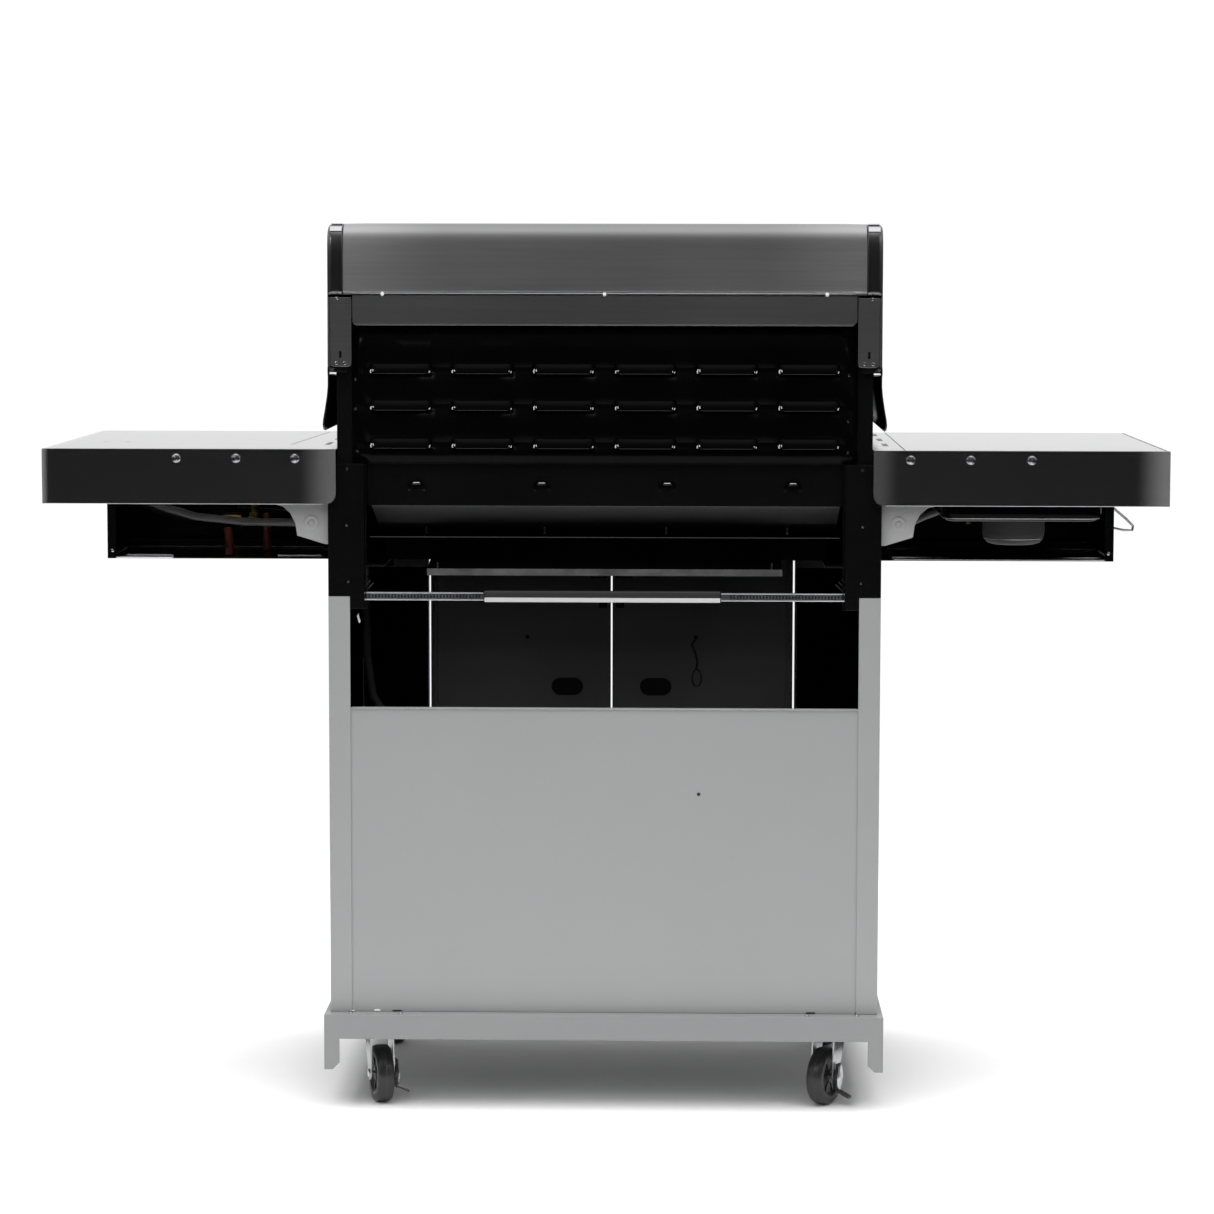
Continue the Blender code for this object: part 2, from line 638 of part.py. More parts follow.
def firebox():
    out = OVERLAP
    side_wall = [
        (FIREBOX_FRONT, SHOULDER),
        (FIREBOX_REAR, SHOULDER),
        (FIREBOX_REAR, WALL_REAR_TOP),
        (WALL_SLOPE_REAR, WALL_REAR_TOP),
        (WALL_SLOPE_FRONT, WALL_FRONT_TOP),
        (FIREBOX_FRONT, WALL_FRONT_TOP),
    ]
    upper = prism(side_wall, "X", -FIREBOX_HALF, FIREBOX_HALF)
    trough = [
        (TROUGH_FRONT, SHOULDER + out),
        (TROUGH_FRONT, HOPPER_TOP),
        (HOPPER_OUT_FRONT, HOPPER_BOTTOM),
        (HOPPER_OUT_REAR, HOPPER_BOTTOM),
        (TROUGH_REAR, HOPPER_TOP),
        (TROUGH_REAR, SHOULDER + out),
    ]
    lower = prism(trough, "X", -TROUGH_HALF, TROUGH_HALF)
    inner = FIREBOX_HALF - SHEET
    front_in = FIREBOX_FRONT + SHEET
    cut_top = box(-inner, inner, front_in, FIREBOX_REAR - SHEET, LEDGE_TOP, WALL_REAR_TOP + CUT)
    ledge_y = (FIREBOX_FRONT + LEDGE_WIDTH, FIREBOX_REAR - LEDGE_WIDTH)
    cut_mid = box(-inner, inner, *ledge_y, SHOULDER + SHEET, LEDGE_TOP + out)
    wall = TROUGH_HALF - SHEET
    hollow = [
        (TROUGH_FRONT + SHEET, SHOULDER + SHEET + out),
        (TROUGH_FRONT + SHEET, HOPPER_TOP + SHEET / 2),
        (HOPPER_OUT_FRONT + SHEET, HOPPER_BOTTOM + SHEET),
        (HOPPER_OUT_FRONT + SHEET, HOPPER_BOTTOM - CUT),
        (HOPPER_OUT_REAR - SHEET, HOPPER_BOTTOM - CUT),
        (HOPPER_OUT_REAR - SHEET, HOPPER_BOTTOM + SHEET),
        (TROUGH_REAR - SHEET, HOPPER_TOP + SHEET / 2),
        (TROUGH_REAR - SHEET, SHOULDER + SHEET + out),
    ]
    cut_low = prism(hollow, "X", -wall, wall)
    window_half = BACK_HALF - WINDOW_INSET
    window_y = (FIREBOX_REAR - SHEET - CUT, FIREBOX_REAR + CUT)
    window = box(-window_half, window_half, *window_y, LEDGE_TOP + SHEET, BACK_TOP - LEDGE_WIDTH)
    cutters = [cut_top, cut_mid, cut_low, window]
    hole_r = BELL_R + 2 * SLIDE_GAP
    slot_z = (BURNER_Z - SLOT_HEIGHT / 2, BURNER_Z + SLOT_HEIGHT / 2)
    for x in BURNER_X:
        start = (x, TROUGH_FRONT - CUT, BURNER_Z)
        end = (x, TROUGH_FRONT + CUT, BURNER_Z)
        cutters.append(rod(start, end, hole_r, 18))
        cutters.append(box(x - SLOT_HALF, x + SLOT_HALF, TROUGH_REAR - CUT, TROUGH_REAR + CUT / 2, *slot_z))
    kept = piece("firebox_shell", BLACK_ENAMEL, [upper, lower], cutters)
    kept.hide_render = True
    pegs = []
    peg_z = (SHOULDER - OVERLAP, TENT_APEX - 2 * SHEET)
    front_peg = (TROUGH_FRONT + SHEET / 2, TROUGH_FRONT + PEG_REACH)
    rear_peg = (TROUGH_REAR - PEG_REACH, TROUGH_REAR - SHEET / 2)
    for x in BURNER_X:
        for peg_y in (front_peg, rear_peg):
            pegs.append(box(x - PEG_HALF, x + PEG_HALF, *peg_y, *peg_z))
    for side in (-1, 1):
        x0, x1 = span(side, FIREBOX_HALF - RACK_PEG_REACH, FIREBOX_HALF - SHEET / 2)
        for y in (RACK_FRONT + 0.020, RACK_REAR - 0.025):
            low = RACK_Z - RACK_PEG_DEPTH
            pegs.append(box(x0, x1, y - RACK_PEG_HALF, y + RACK_PEG_HALF, low, RACK_Z - FIT_GAP))
    piece("firebox", BLACK_ENAMEL, [kept] + pegs)


def louvred_back():
    y0 = FIREBOX_REAR + FIT_GAP
    y1 = y0 + SHEET
    tip = y1 + LOUVRE_DEPTH
    solids = [box(-BACK_HALF, BACK_HALF, y0, y1, BACK_BOTTOM, BACK_TOP)]
    cutters = []
    for column in range(LOUVRE_COLUMNS):
        x = (column - (LOUVRE_COLUMNS - 1) / 2) * LOUVRE_PITCH
        for z in LOUVRE_ROWS:
            hood = [
                (y0 + SHEET / 2, z),
                (tip, z),
                (tip, z + LOUVRE_LIP),
                (y0 + SHEET / 2, z + LOUVRE_HEIGHT),
            ]
            solids.append(prism(hood, "X", x - LOUVRE_HALF, x + LOUVRE_HALF))
            hollow_top = z + LOUVRE_HEIGHT - 2 * SHEET
            hollow = [
                (y0 - CUT, z - OVERLAP),
                (tip - SHEET, z - OVERLAP),
                (tip - SHEET, z + LOUVRE_LIP - OVERLAP),
                (y0 - OVERLAP, hollow_top),
                (y0 - CUT, hollow_top),
            ]
            cutters.append(prism(hollow, "X", x - LOUVRE_HALF + SHEET, x + LOUVRE_HALF - SHEET))
    piece("louvred_back", BLACK_ENAMEL, solids, cutters)


def tray_rail():
    y1 = BODY_REAR_Y - SHEET - FIT_GAP
    bar = box(-REAR_PANEL_HALF, REAR_PANEL_HALF, y1 - RAIL_DEPTH, y1, *RAIL_Z)
    lip_half = REAR_PANEL_HALF - RAIL_LIP_INSET
    low_lip = box(-lip_half, lip_half, y1 - SLEEVE_DEPTH, y1 + OVERLAP, *RAIL_LIP_Z)
    sleeve = box(*SLEEVE_X, y1 - SLEEVE_DEPTH, y1 + 2 * OVERLAP, *SLEEVE_Z)
    piece("tray_cross_rail", ZINC, [bar, low_lip, sleeve])


def shelf_body(side):
    corner = []
    for step in range(5):
        angle = math.radians(180.0 + 90.0 * step / 4)
        corner.append(
            (
                SHELF_IN + SHELF_CORNER + SHELF_CORNER * math.cos(angle),
                SHELF_BOTTOM + SHELF_CORNER + SHELF_CORNER * math.sin(angle),
            )
        )
    outline = corner + [(SHELF_OUT, SHELF_BOTTOM), (SHELF_OUT, SHELF_TOP), (SHELF_IN, SHELF_TOP)]
    outer = prism(both_sides(outline, side), "Y", SHELF_FRONT, REAR_Y)
    x0, x1 = span(side, SHELF_IN - CUT, SHELF_OUT - SHEET)
    hollow = box(x0, x1, SHELF_FRONT + SHEET, REAR_Y - SHEET, SHELF_BOTTOM - CUT, SHELF_TOP - SHEET)
    return outer, hollow


def shelves():
    outer, hollow = shelf_body(1)
    piece("shelf_right", STAINLESS, [outer], [hollow])
    outer, hollow = shelf_body(-1)
    shell = piece("shelf_shell", STAINLESS, [outer], [hollow])
    shell.hide_render = True
    seat = SHELF_TOP - LID_THICK - FIT_GAP
    deck = box(
        -SHELF_OUT + SHEET / 2,
        -SHELF_IN - SHEET / 2,
        SHELF_FRONT + SHEET / 2,
        REAR_Y - SHEET / 2,
        seat - SHEET,
        SHELF_TOP - SHEET / 2,
    )
    recess = box(
        -LID_OUT - LID_GAP,
        -LID_IN + LID_GAP,
        LID_FRONT - LID_GAP,
        LID_REAR + LID_GAP,
        seat,
        SHELF_TOP + CUT,
    )
    hole_x = PAN_HALF_X - PAN_HOLE_IN
    hole_y = PAN_HALF_Y - PAN_HOLE_IN
    pan_hole = box(
        SIDE_X - hole_x,
        SIDE_X + hole_x,
        SIDE_Y - hole_y,
        SIDE_Y + hole_y,
        seat - 2 * CUT,
        SHELF_TOP + CUT,
    )
    piece("shelf_left", STAINLESS, [shell, deck], [recess, pan_hole])


def shelf_brackets():
    for side, name in ((-1, "shelf_bracket_left"), (1, "shelf_bracket_right")):
        top = SHELF_TOP - SHEET - FIT_GAP
        if side < 0:
            top = SHELF_TOP - LID_THICK - SHEET - 2 * FIT_GAP
        curve = []
        for step in range(5):
            angle = math.radians(90.0 * step / 4)
            x = BRACKET_OUT - BRACKET_CURVE[0] * math.sin(angle)
            curve.append((x, BRACKET_SHOULDER - BRACKET_CURVE[1] * (1.0 - math.cos(angle))))
        toe = [(BRACKET_IN + BRACKET_TOE, BRACKET_BOTTOM), (BRACKET_IN, BRACKET_BOTTOM)]
        gusset = [(BRACKET_IN, top), (BRACKET_OUT, top)] + curve + toe
        solids = []
        for y in (BRACKET_REAR, BRACKET_FRONT):
            solids.append(prism(both_sides(gusset, side), "Y", y - HEAVY_SHEET, y))
        x0, x1 = span(side, BRACKET_IN, BRACKET_IN + HEAVY_SHEET)
        solids.append(box(x0, x1, BRACKET_FRONT - HEAVY_SHEET, BRACKET_REAR, BRACKET_BOTTOM, top))
        cutters = []
        if side > 0:
            cutters.append(hose_hole(CABINET_HALF - CUT, CABINET_HALF + CUT))
        piece(name, PALE_PAINT, solids, cutters)


def side_burner_set():
    x0 = SIDE_X - PAN_HALF_X
    x1 = SIDE_X + PAN_HALF_X
    y0 = SIDE_Y - PAN_HALF_Y
    y1 = SIDE_Y + PAN_HALF_Y
    rim_top = SHELF_TOP - LID_THICK - 2 * FIT_GAP - SHEET
    inset = PAN_WALL_IN
    outer = box(x0 + inset, x1 - inset, y0 + inset, y1 - inset, PAN_FLOOR, rim_top)
    rim = box(x0, x1, y0, y1, rim_top - SHEET, rim_top)
    bowl_line = [
        (0.0, BOWL_BOTTOM),
        (BOWL_R - BOWL_ROUND, BOWL_BOTTOM),
        (BOWL_R, BOWL_BOTTOM + BOWL_ROUND),
        (BOWL_R, PAN_FLOOR + OVERLAP),
        (0.0, PAN_FLOOR + OVERLAP),
    ]
    bowl = lathe(bowl_line, (SIDE_X, SIDE_Y, 0.0), "Z", 24)
    inset += SHEET
    hollow = box(x0 + inset, x1 - inset, y0 + inset, y1 - inset, PAN_FLOOR + SHEET, rim_top + CUT)
    dip_line = [
        (0.0, BOWL_BOTTOM + SHEET),
        (BOWL_R - BOWL_ROUND - SHEET / 2, BOWL_BOTTOM + SHEET),
        (BOWL_R - SHEET, BOWL_BOTTOM + BOWL_ROUND + SHEET / 2),
        (BOWL_R - SHEET, PAN_FLOOR + CUT),
        (0.0, PAN_FLOOR + CUT),
    ]
    dip = lathe(dip_line, (SIDE_X, SIDE_Y, 0.0), "Z", 24)
    hole_r = FEED_R + 3 * SLIDE_GAP
    tube_hole = rod((SIDE_X, y0 - CUT, FEED_Z), (SIDE_X, y0 + 2 * CUT, FEED_Z), hole_r, 16)
    piece("side_burner_pan", BLACK_ENAMEL, [outer, rim, bowl], [hollow, dip, tube_hole])

    head_line = [
        (0.0, HEAD_BOTTOM),
        (HEAD_R / 2, HEAD_BOTTOM),
        (HEAD_R - 0.002, HEAD_BOTTOM + 0.008),
        (HEAD_R, HEAD_BOTTOM + 0.014),
        (HEAD_R - 0.004, HEAD_TOP - 0.004),
        (0.0, HEAD_TOP),
    ]
    head = lathe(head_line, (SIDE_X, SIDE_Y, 0.0), "Z", 24)
    stalk = rod((SIDE_X, SIDE_Y, PAN_FLOOR - 2 * CUT), (SIDE_X, SIDE_Y, HEAD_BOTTOM + 0.006), STALK_R, 14)
    feed_front = SHELF_FRONT + 0.007
    feed_rear = SIDE_Y - STALK_R / 2
    feed = rod((SIDE_X, feed_front, FEED_Z), (SIDE_X, feed_rear, FEED_Z), FEED_R, 12)
    mouth_y = (feed_front - 0.007, feed_front + 0.018)
    mouth = rod((SIDE_X, mouth_y[0], FEED_Z), (SIDE_X, mouth_y[1], FEED_Z), FEED_R - 0.002, 12)
    plug_low = BOWL_BOTTOM + SHEET + FIT_GAP
    plug = rod((SIDE_X, SIDE_Y, plug_low), (SIDE_X, SIDE_Y, PAN_FLOOR - CUT), PLUG_R, 10)
    piece("side_burner", CAST_IRON, [head, stalk, feed, plug], [mouth])

    half = SIDE_GRATE_HALF
    lines = (-half, -half + 0.006, -0.028, -0.022, -0.003, 0.003, 0.022, 0.028, half - 0.006, half)
    xs = [SIDE_X + v for v in lines]
    ys = [SIDE_Y + v for v in lines]

    def open_cell(i, j):
        edge = i in (0, 8) or j in (0, 8)
        inner_ring = (i in (2, 6) and 2 <= j <= 6) or (j in (2, 6) and 2 <= i <= 6)
        spoke = (i == 4 and not 3 <= j <= 5) or (j == 4 and not 3 <= i <= 5)
        return not (edge or inner_ring or spoke)

    grate_top = SHELF_TOP - LID_THICK - SHEET
    solids = [slotted_plate(xs, ys, grate_top - SIDE_GRATE_DEPTH, grate_top, open_cell)]
    foot_low = PAN_FLOOR + SHEET + FIT_GAP
    for dx in (-half + 0.006, half - 0.006):
        for dy in (-half + 0.006, half - 0.006):
            x = SIDE_X + dx
            y = SIDE_Y + dy
            solids.append(box(x - 0.004, x + 0.004, y - 0.004, y + 0.004, foot_low, grate_top - 0.002))
    piece("side_burner_grate", CAST_IRON, solids)

    hinge = (-(LID_IN + LID_OUT) / 2, LID_REAR - SLIDE_GAP, SHELF_TOP - SHEET)
    solids = [box(-LID_OUT, -LID_IN, LID_FRONT, LID_REAR, SHELF_TOP - SHEET, SHELF_TOP)]
    skirt_z = (SHELF_TOP - LID_THICK, SHELF_TOP - SHEET / 2)
    for x in (-LID_OUT, -LID_IN - SHEET):
        solids.append(box(x, x + SHEET, LID_FRONT, LID_REAR, *skirt_z))
    solids.append(box(-LID_OUT, -LID_IN, LID_FRONT, LID_FRONT + SHEET, *skirt_z))
    piece("side_burner_lid", STAINLESS, solids, pivot=hinge)


def control_panel():
    face = PANEL_FACE
    rear = SHELF_FRONT - FIT_GAP
    lip = box(-PANEL_HALF, PANEL_HALF, rear - SHEET, rear, PANEL_LIP_BOTTOM, PANEL_TOP - SHEET / 2)
    profile = [
        (rear, PANEL_TOP),
        (face + PANEL_ROUND, PANEL_TOP),
        (face + 0.004, PANEL_TOP - 0.004),
        (face, PANEL_TOP - PANEL_ROUND),
        (face, PANEL_BOTTOM + 0.008),
        (face + 0.008, PANEL_BOTTOM),
        (SHELF_FRONT + 0.005, PANEL_BOTTOM),
    ]
    shell = bent(profile, SHEET, "X", -PANEL_HALF, PANEL_HALF)
    solids = [shell, lip]
    wing_top = SHELF_BOTTOM - 0.006
    for side in (-1, 1):
        x0, x1 = span(side, PANEL_HALF - SHEET, PANEL_HALF)
        end = [
            (face + 0.001, PANEL_BOTTOM + 0.008),
            (face + 0.008, PANEL_BOTTOM),
            (PANEL_WING_REAR, PANEL_BOTTOM),
            (PANEL_WING_REAR, wing_top),
            (SHELF_FRONT - 0.010, wing_top),
            (SHELF_FRONT - 0.010, PANEL_TOP - 0.004),
            (face + 0.004, PANEL_TOP - 0.006),
            (face + 0.001, PANEL_TOP - PANEL_ROUND),
        ]
        solids.append(prism(end, "X", x0, x1))
        x0, x1 = span(side, PANEL_HALF - PANEL_ROUND, PANEL_HALF)
        solids.append(box(x0, x1, PANEL_WING_REAR - SHEET, PANEL_WING_REAR, PANEL_BOTTOM, wing_top))
    holes = [(x, STEM_HOLE_R) for x in BURNER_X + (SIDE_X,)] + [(BUTTON_X, BUTTON_R + SLIDE_GAP)]
    cutters = [rod((x, face - CUT, KNOB_Z), (x, face + CUT, KNOB_Z), radius, 16) for x, radius in holes]
    piece("control_panel", BLACK_ENAMEL, solids, cutters)


def knobs():
    names = ("knob_1", "knob_2", "knob_3", "knob_4")
    places = list(zip(names, BURNER_X)) + [("knob_side_burner", SIDE_X)]
    back = PANEL_FACE - 3 * SLIDE_GAP
    front = back - KNOB_DEPTH
    bar_z = (KNOB_Z - KNOB_R + 0.006, KNOB_Z + KNOB_R - 0.006)
    for name, x in places:
        profile = [
            (STEM_R + FIT_GAP, back),
            (KNOB_R, back),
            (KNOB_R, back - 0.006),
            (KNOB_R - 0.004, back - 0.010),
            (KNOB_R - 0.007, front),
            (0.0, front),
            (0.0, front + 0.010),
            (STEM_R + FIT_GAP, front + 0.010),
        ]
        body = lathe(profile, (x, 0.0, KNOB_Z), "Y", 20)
        bar = box(x - 0.004, x + 0.004, front - 0.0015, front + 0.005, *bar_z)
        piece(name, KNOB_METAL, [body, bar], pivot=(x, back, KNOB_Z))


def ignition():
    y = PANEL_FACE
    cap = rod((BUTTON_X, y - BUTTON_OUT, KNOB_Z), (BUTTON_X, y + 0.012, KNOB_Z), BUTTON_R, 20)
    lip_y = y + SHEET + FIT_GAP
    lip = rod((BUTTON_X, lip_y, KNOB_Z), (BUTTON_X, lip_y + HEAVY_SHEET, KNOB_Z), BUTTON_LIP_R, 20)
    piece("ignition_button", KNOB_DARK, [cap, lip], pivot=(BUTTON_X, y, KNOB_Z))


def gas_parts():
    y = MANIFOLD_Y
    z = MANIFOLD_Z
    drop = INLET_X - 0.046
    line = [(SIDE_X, y, z), (drop - 0.010, y, z), (drop, y, z - 0.010)]
    line += [(drop, y, INLET_Z + 0.006), (drop + 0.010, y, INLET_Z), (INLET_X - 0.006, y, INLET_Z)]
    solids = [tube(line, MANIFOLD_R, 12)]
    valve_y = (PANEL_FACE + 0.006, y + 0.009)
    for x in BURNER_X + (SIDE_X,):
        on_side = x == SIDE_X
        top = KNOB_Z + 0.014 if on_side else BURNER_Z + 0.006
        jet_z = FEED_Z if on_side else BURNER_Z
        jet_end = SHELF_FRONT + 0.014 if on_side else BURNER_FRONT + 0.006
        solids.append(box(x - VALVE_HALF, x + VALVE_HALF, *valve_y, KNOB_Z - VALVE_DEPTH, top))
        solids.append(rod((x, PANEL_FACE + 0.008, KNOB_Z), (x, PANEL_FACE - 0.024, KNOB_Z), STEM_R, 10))
        solids.append(rod((x, y + 0.005, jet_z), (x, jet_end, jet_z), JET_R, 8))
    solids.append(rod((INLET_X - 0.026, y, INLET_Z), (INLET_X, y, INLET_Z), INLET_NUT_R, 6))
    piece("gas_manifold", BRASS, solids)
    hose = [(INLET_X + FIT_GAP, y, INLET_Z), (INLET_X + 0.010, y, INLET_Z)]
    hose += [(CABINET_HALF + a, b, c) for a, b, c in HOSE_PATH]
    piece("gas_hose", HOSE_RUBBER, [tube(hose, HOSE_R, 10)])
    x = CABINET_HALF - REGULATOR_IN
    ry = HOSE_Y
    rz = REGULATOR_Z
    dome = [
        (0.0, rz - 0.010),
        (0.030, rz - 0.010),
        (0.034, rz - 0.004),
        (0.034, rz + 0.004),
        (0.026, rz + 0.012),
        (0.0, rz + 0.014),
    ]
    body = lathe(dome, (x, ry, 0.0), "Z", 24)
    neck = rod((x, ry, rz + 0.005), (x, ry, rz + 0.030), 0.009, 12)
    nose = rod((x, ry, rz - 0.002), (x, ry - 0.055, rz - 0.002), 0.008, 12)
    grip = rod((x, ry - 0.050, rz - 0.002), (x, ry - 0.080, rz - 0.002), 0.017, 12)
    x1 = CABINET_HALF - SHEET - FIT_GAP
    plate = box(x1 - 0.003, x1, ry - 0.020, ry + 0.020, rz - 0.030, rz + 0.024)
    arm = box(x + 0.015, x1 - 0.001, ry - 0.008, ry + 0.008, rz - 0.006, rz + 0.004)
    piece("gas_regulator", ZINC, [body, neck, nose, grip, plate, arm])


def burners():
    front = BURNER_FRONT
    tail_z = (BURNER_Z - TAIL_THICK, BURNER_Z + TAIL_THICK)
    for index, x in enumerate(BURNER_X):
        body = tube([(x, front, BURNER_Z), (x, BURNER_TAIL - 0.006, BURNER_Z)], BURNER_R, 14)
        bell_line = [
            (0.0, front),
            (BELL_R, front),
            (BELL_R, front + BELL_LENGTH),
            (BURNER_R - OVERLAP, front + BELL_TAPER),
            (0.0, front + BELL_TAPER),
        ]
        bell = lathe(bell_line, (x, 0.0, BURNER_Z), "Y", 14)
        tail = box(x - TAIL_HALF, x + TAIL_HALF, BURNER_TAIL - CUT, TROUGH_REAR + 0.0035, *tail_z)
        bore = rod((x, front - CUT, BURNER_Z), (x, front + 0.018, BURNER_Z), BELL_R - 0.003, 14)
        piece(f"burner_{index + 1}", STAINLESS, [body, bell, tail], [bore])
        eave = TENT_APEX - TENT_DROP - SHEET
        line = [(x - TENT_HALF, eave), (x, TENT_APEX - SHEET), (x + TENT_HALF, eave)]
        piece(f"heat_tent_{index + 1}", STAINLESS, [bent(line, SHEET, "Y", TENT_FRONT, TENT_REAR)])


def grates():
    front = FIREBOX_FRONT + SHEET + GRATE_EDGE_GAP
    rear = FIREBOX_REAR - SHEET - GRATE_EDGE_GAP
    middle = (front + rear) / 2
    ys = [front, front + GRATE_RIM, middle - 0.005, middle + 0.005, rear - GRATE_RIM, rear]
    inner = GRATE_EDGE_GAP
    outer = FIREBOX_HALF - SHEET - 0.0025
    slot = (outer - inner - GRATE_BAR * (GRATE_SLOTS + 1)) / GRATE_SLOTS
    for side, name in ((-1, "cooking_grate_left"), (1, "cooking_grate_right")):
        xs = [inner]
        for _ in range(GRATE_SLOTS):
            xs += [xs[-1] + GRATE_BAR, xs[-1] + GRATE_BAR + slot]
        xs.append(outer)
        if side < 0:
            xs = [-v for v in reversed(xs)]
        plate = slotted_plate(xs, ys, GRATE_BOTTOM, GRATE_TOP, lambda i, j: i % 2 == 1 and j in (1, 3))
        piece(name, CAST_IRON, [plate])
    rim = RACK_HALF - RACK_ROD
    xs = [-RACK_HALF, -rim]
    while xs[-1] + RACK_PITCH < rim - RACK_WIRE:
        xs += [xs[-1] + RACK_PITCH - RACK_WIRE, xs[-1] + RACK_PITCH]
    xs += [rim, RACK_HALF]
    ys = [RACK_FRONT, RACK_FRONT + RACK_ROD, RACK_REAR - RACK_ROD, RACK_REAR]
    rack = slotted_plate(xs, ys, RACK_Z, RACK_Z + RACK_ROD, lambda i, j: j == 1 and i % 2 == 1)
    piece("warming_rack", CHROME, [rack])


def hook():
    x = -PANEL_HALF - FIT_GAP
    wire = tube([(x - reach, HOOK_Y, z) for reach, z in HOOK_WIRE], HOOK_R, 8)
    plate = box(x - 0.0035, x, HOOK_Y - 0.006, HOOK_Y + 0.006, *HOOK_PLATE_Z)
    piece("tool_hook", ZINC, [wire, plate])


def hood():
    pivot = (0.0, HINGE_Y, HINGE_Z)
    skin_half = HOOD_HALF - HOOD_CAP - FIT_GAP
    skin = bent(list(reversed(HOOD_LINE)), SHEET, "X", -skin_half, skin_half)
    rear = HOOD_REAR
    lip = box(-skin_half, skin_half, rear - LIP_DEPTH, rear, HOOD_LEDGE, HOOD_LEDGE + SHEET)
    probe = thermometer_axis()
    drill = rod(probe(-2 * CUT), probe(2 * CUT), PROBE_HOLE_R, 16)
    piece("hood_skin", STAINLESS_DARK, [skin, lip], [drill], pivot=pivot)
    for side, name in ((-1, "hood_end_left"), (1, "hood_end_right")):
        hood_end(side, name, pivot)

    top = HOOD_LEDGE - FIT_GAP
    baffle_rear = rear + HEAVY_SHEET
    face = [
        (-BAFFLE_HALF, top),
        (-BAFFLE_HALF, BAFFLE_BOTTOM + BAFFLE_CORNER),
        (-BAFFLE_HALF + BAFFLE_CORNER, BAFFLE_BOTTOM),
        (BAFFLE_HALF - BAFFLE_CORNER, BAFFLE_BOTTOM),
        (BAFFLE_HALF, BAFFLE_BOTTOM + BAFFLE_CORNER),
        (BAFFLE_HALF, top),
    ]
    plate = prism(face, "Y", baffle_rear - SHEET, baffle_rear)
    ledge_front = rear - LIP_DEPTH + HEAVY_SHEET
    ledge = box(-BAFFLE_HALF, BAFFLE_HALF, ledge_front, baffle_rear, top - SHEET, top)
    piece("hood_rear_baffle", STAINLESS_DARK, [plate, ledge], pivot=pivot)

    bar = rod((-HANDLE_HALF, HANDLE_Y, HANDLE_Z), (HANDLE_HALF, HANDLE_Y, HANDLE_Z), HANDLE_R, 16)
    solids = [bar]
    low, high = HOOD_LINE[0], HOOD_LINE[1]
    slope = (high[0] - low[0]) / (high[1] - low[1])
    seat_y = low[0] + slope * (HANDLE_Z - low[1]) - FIT_GAP * 2
    foot = [
        (seat_y - 0.018 * slope, HANDLE_Z - 0.018),
        (seat_y + 0.018 * slope, HANDLE_Z + 0.018),
        (HANDLE_Y, HANDLE_Z + 0.010),
        (HANDLE_Y, HANDLE_Z - 0.010),
    ]
    for side in (-1, 1):
        x = side * (HANDLE_HALF - HANDLE_FOOT_IN)
        solids.append(prism(foot, "X", x - HANDLE_FOOT_HALF, x + HANDLE_FOOT_HALF))
    piece("hood_handle", CHROME, solids, pivot=pivot)

    face_gap = FIT_GAP * 2
    profile = [
        (0.0, -PROBE_LENGTH),
        (PROBE_R, -PROBE_LENGTH),
        (PROBE_R, face_gap),
        (GAUGE_R - 0.003, face_gap),
        (GAUGE_R, face_gap + 0.003),
        (GAUGE_R, GAUGE_DEPTH - 0.003),
        (GAUGE_R - 0.004, GAUGE_DEPTH),
        (GAUGE_R - 0.005, GAUGE_DEPTH - 0.003),
        (0.0, GAUGE_DEPTH - 0.003),
    ]
    gauge = lathe(profile, (0.0, 0.0, 0.0), "Z", 28)
    toward = (probe(1.0) - probe(0.0)).normalized()
    spin = Vector((0.0, 0.0, 1.0)).rotation_difference(toward).to_matrix().to_4x4()
    gauge.data.transform(Matrix.Translation(probe(0.0)) @ spin)
    piece("thermometer", CHROME, [gauge], pivot=pivot)


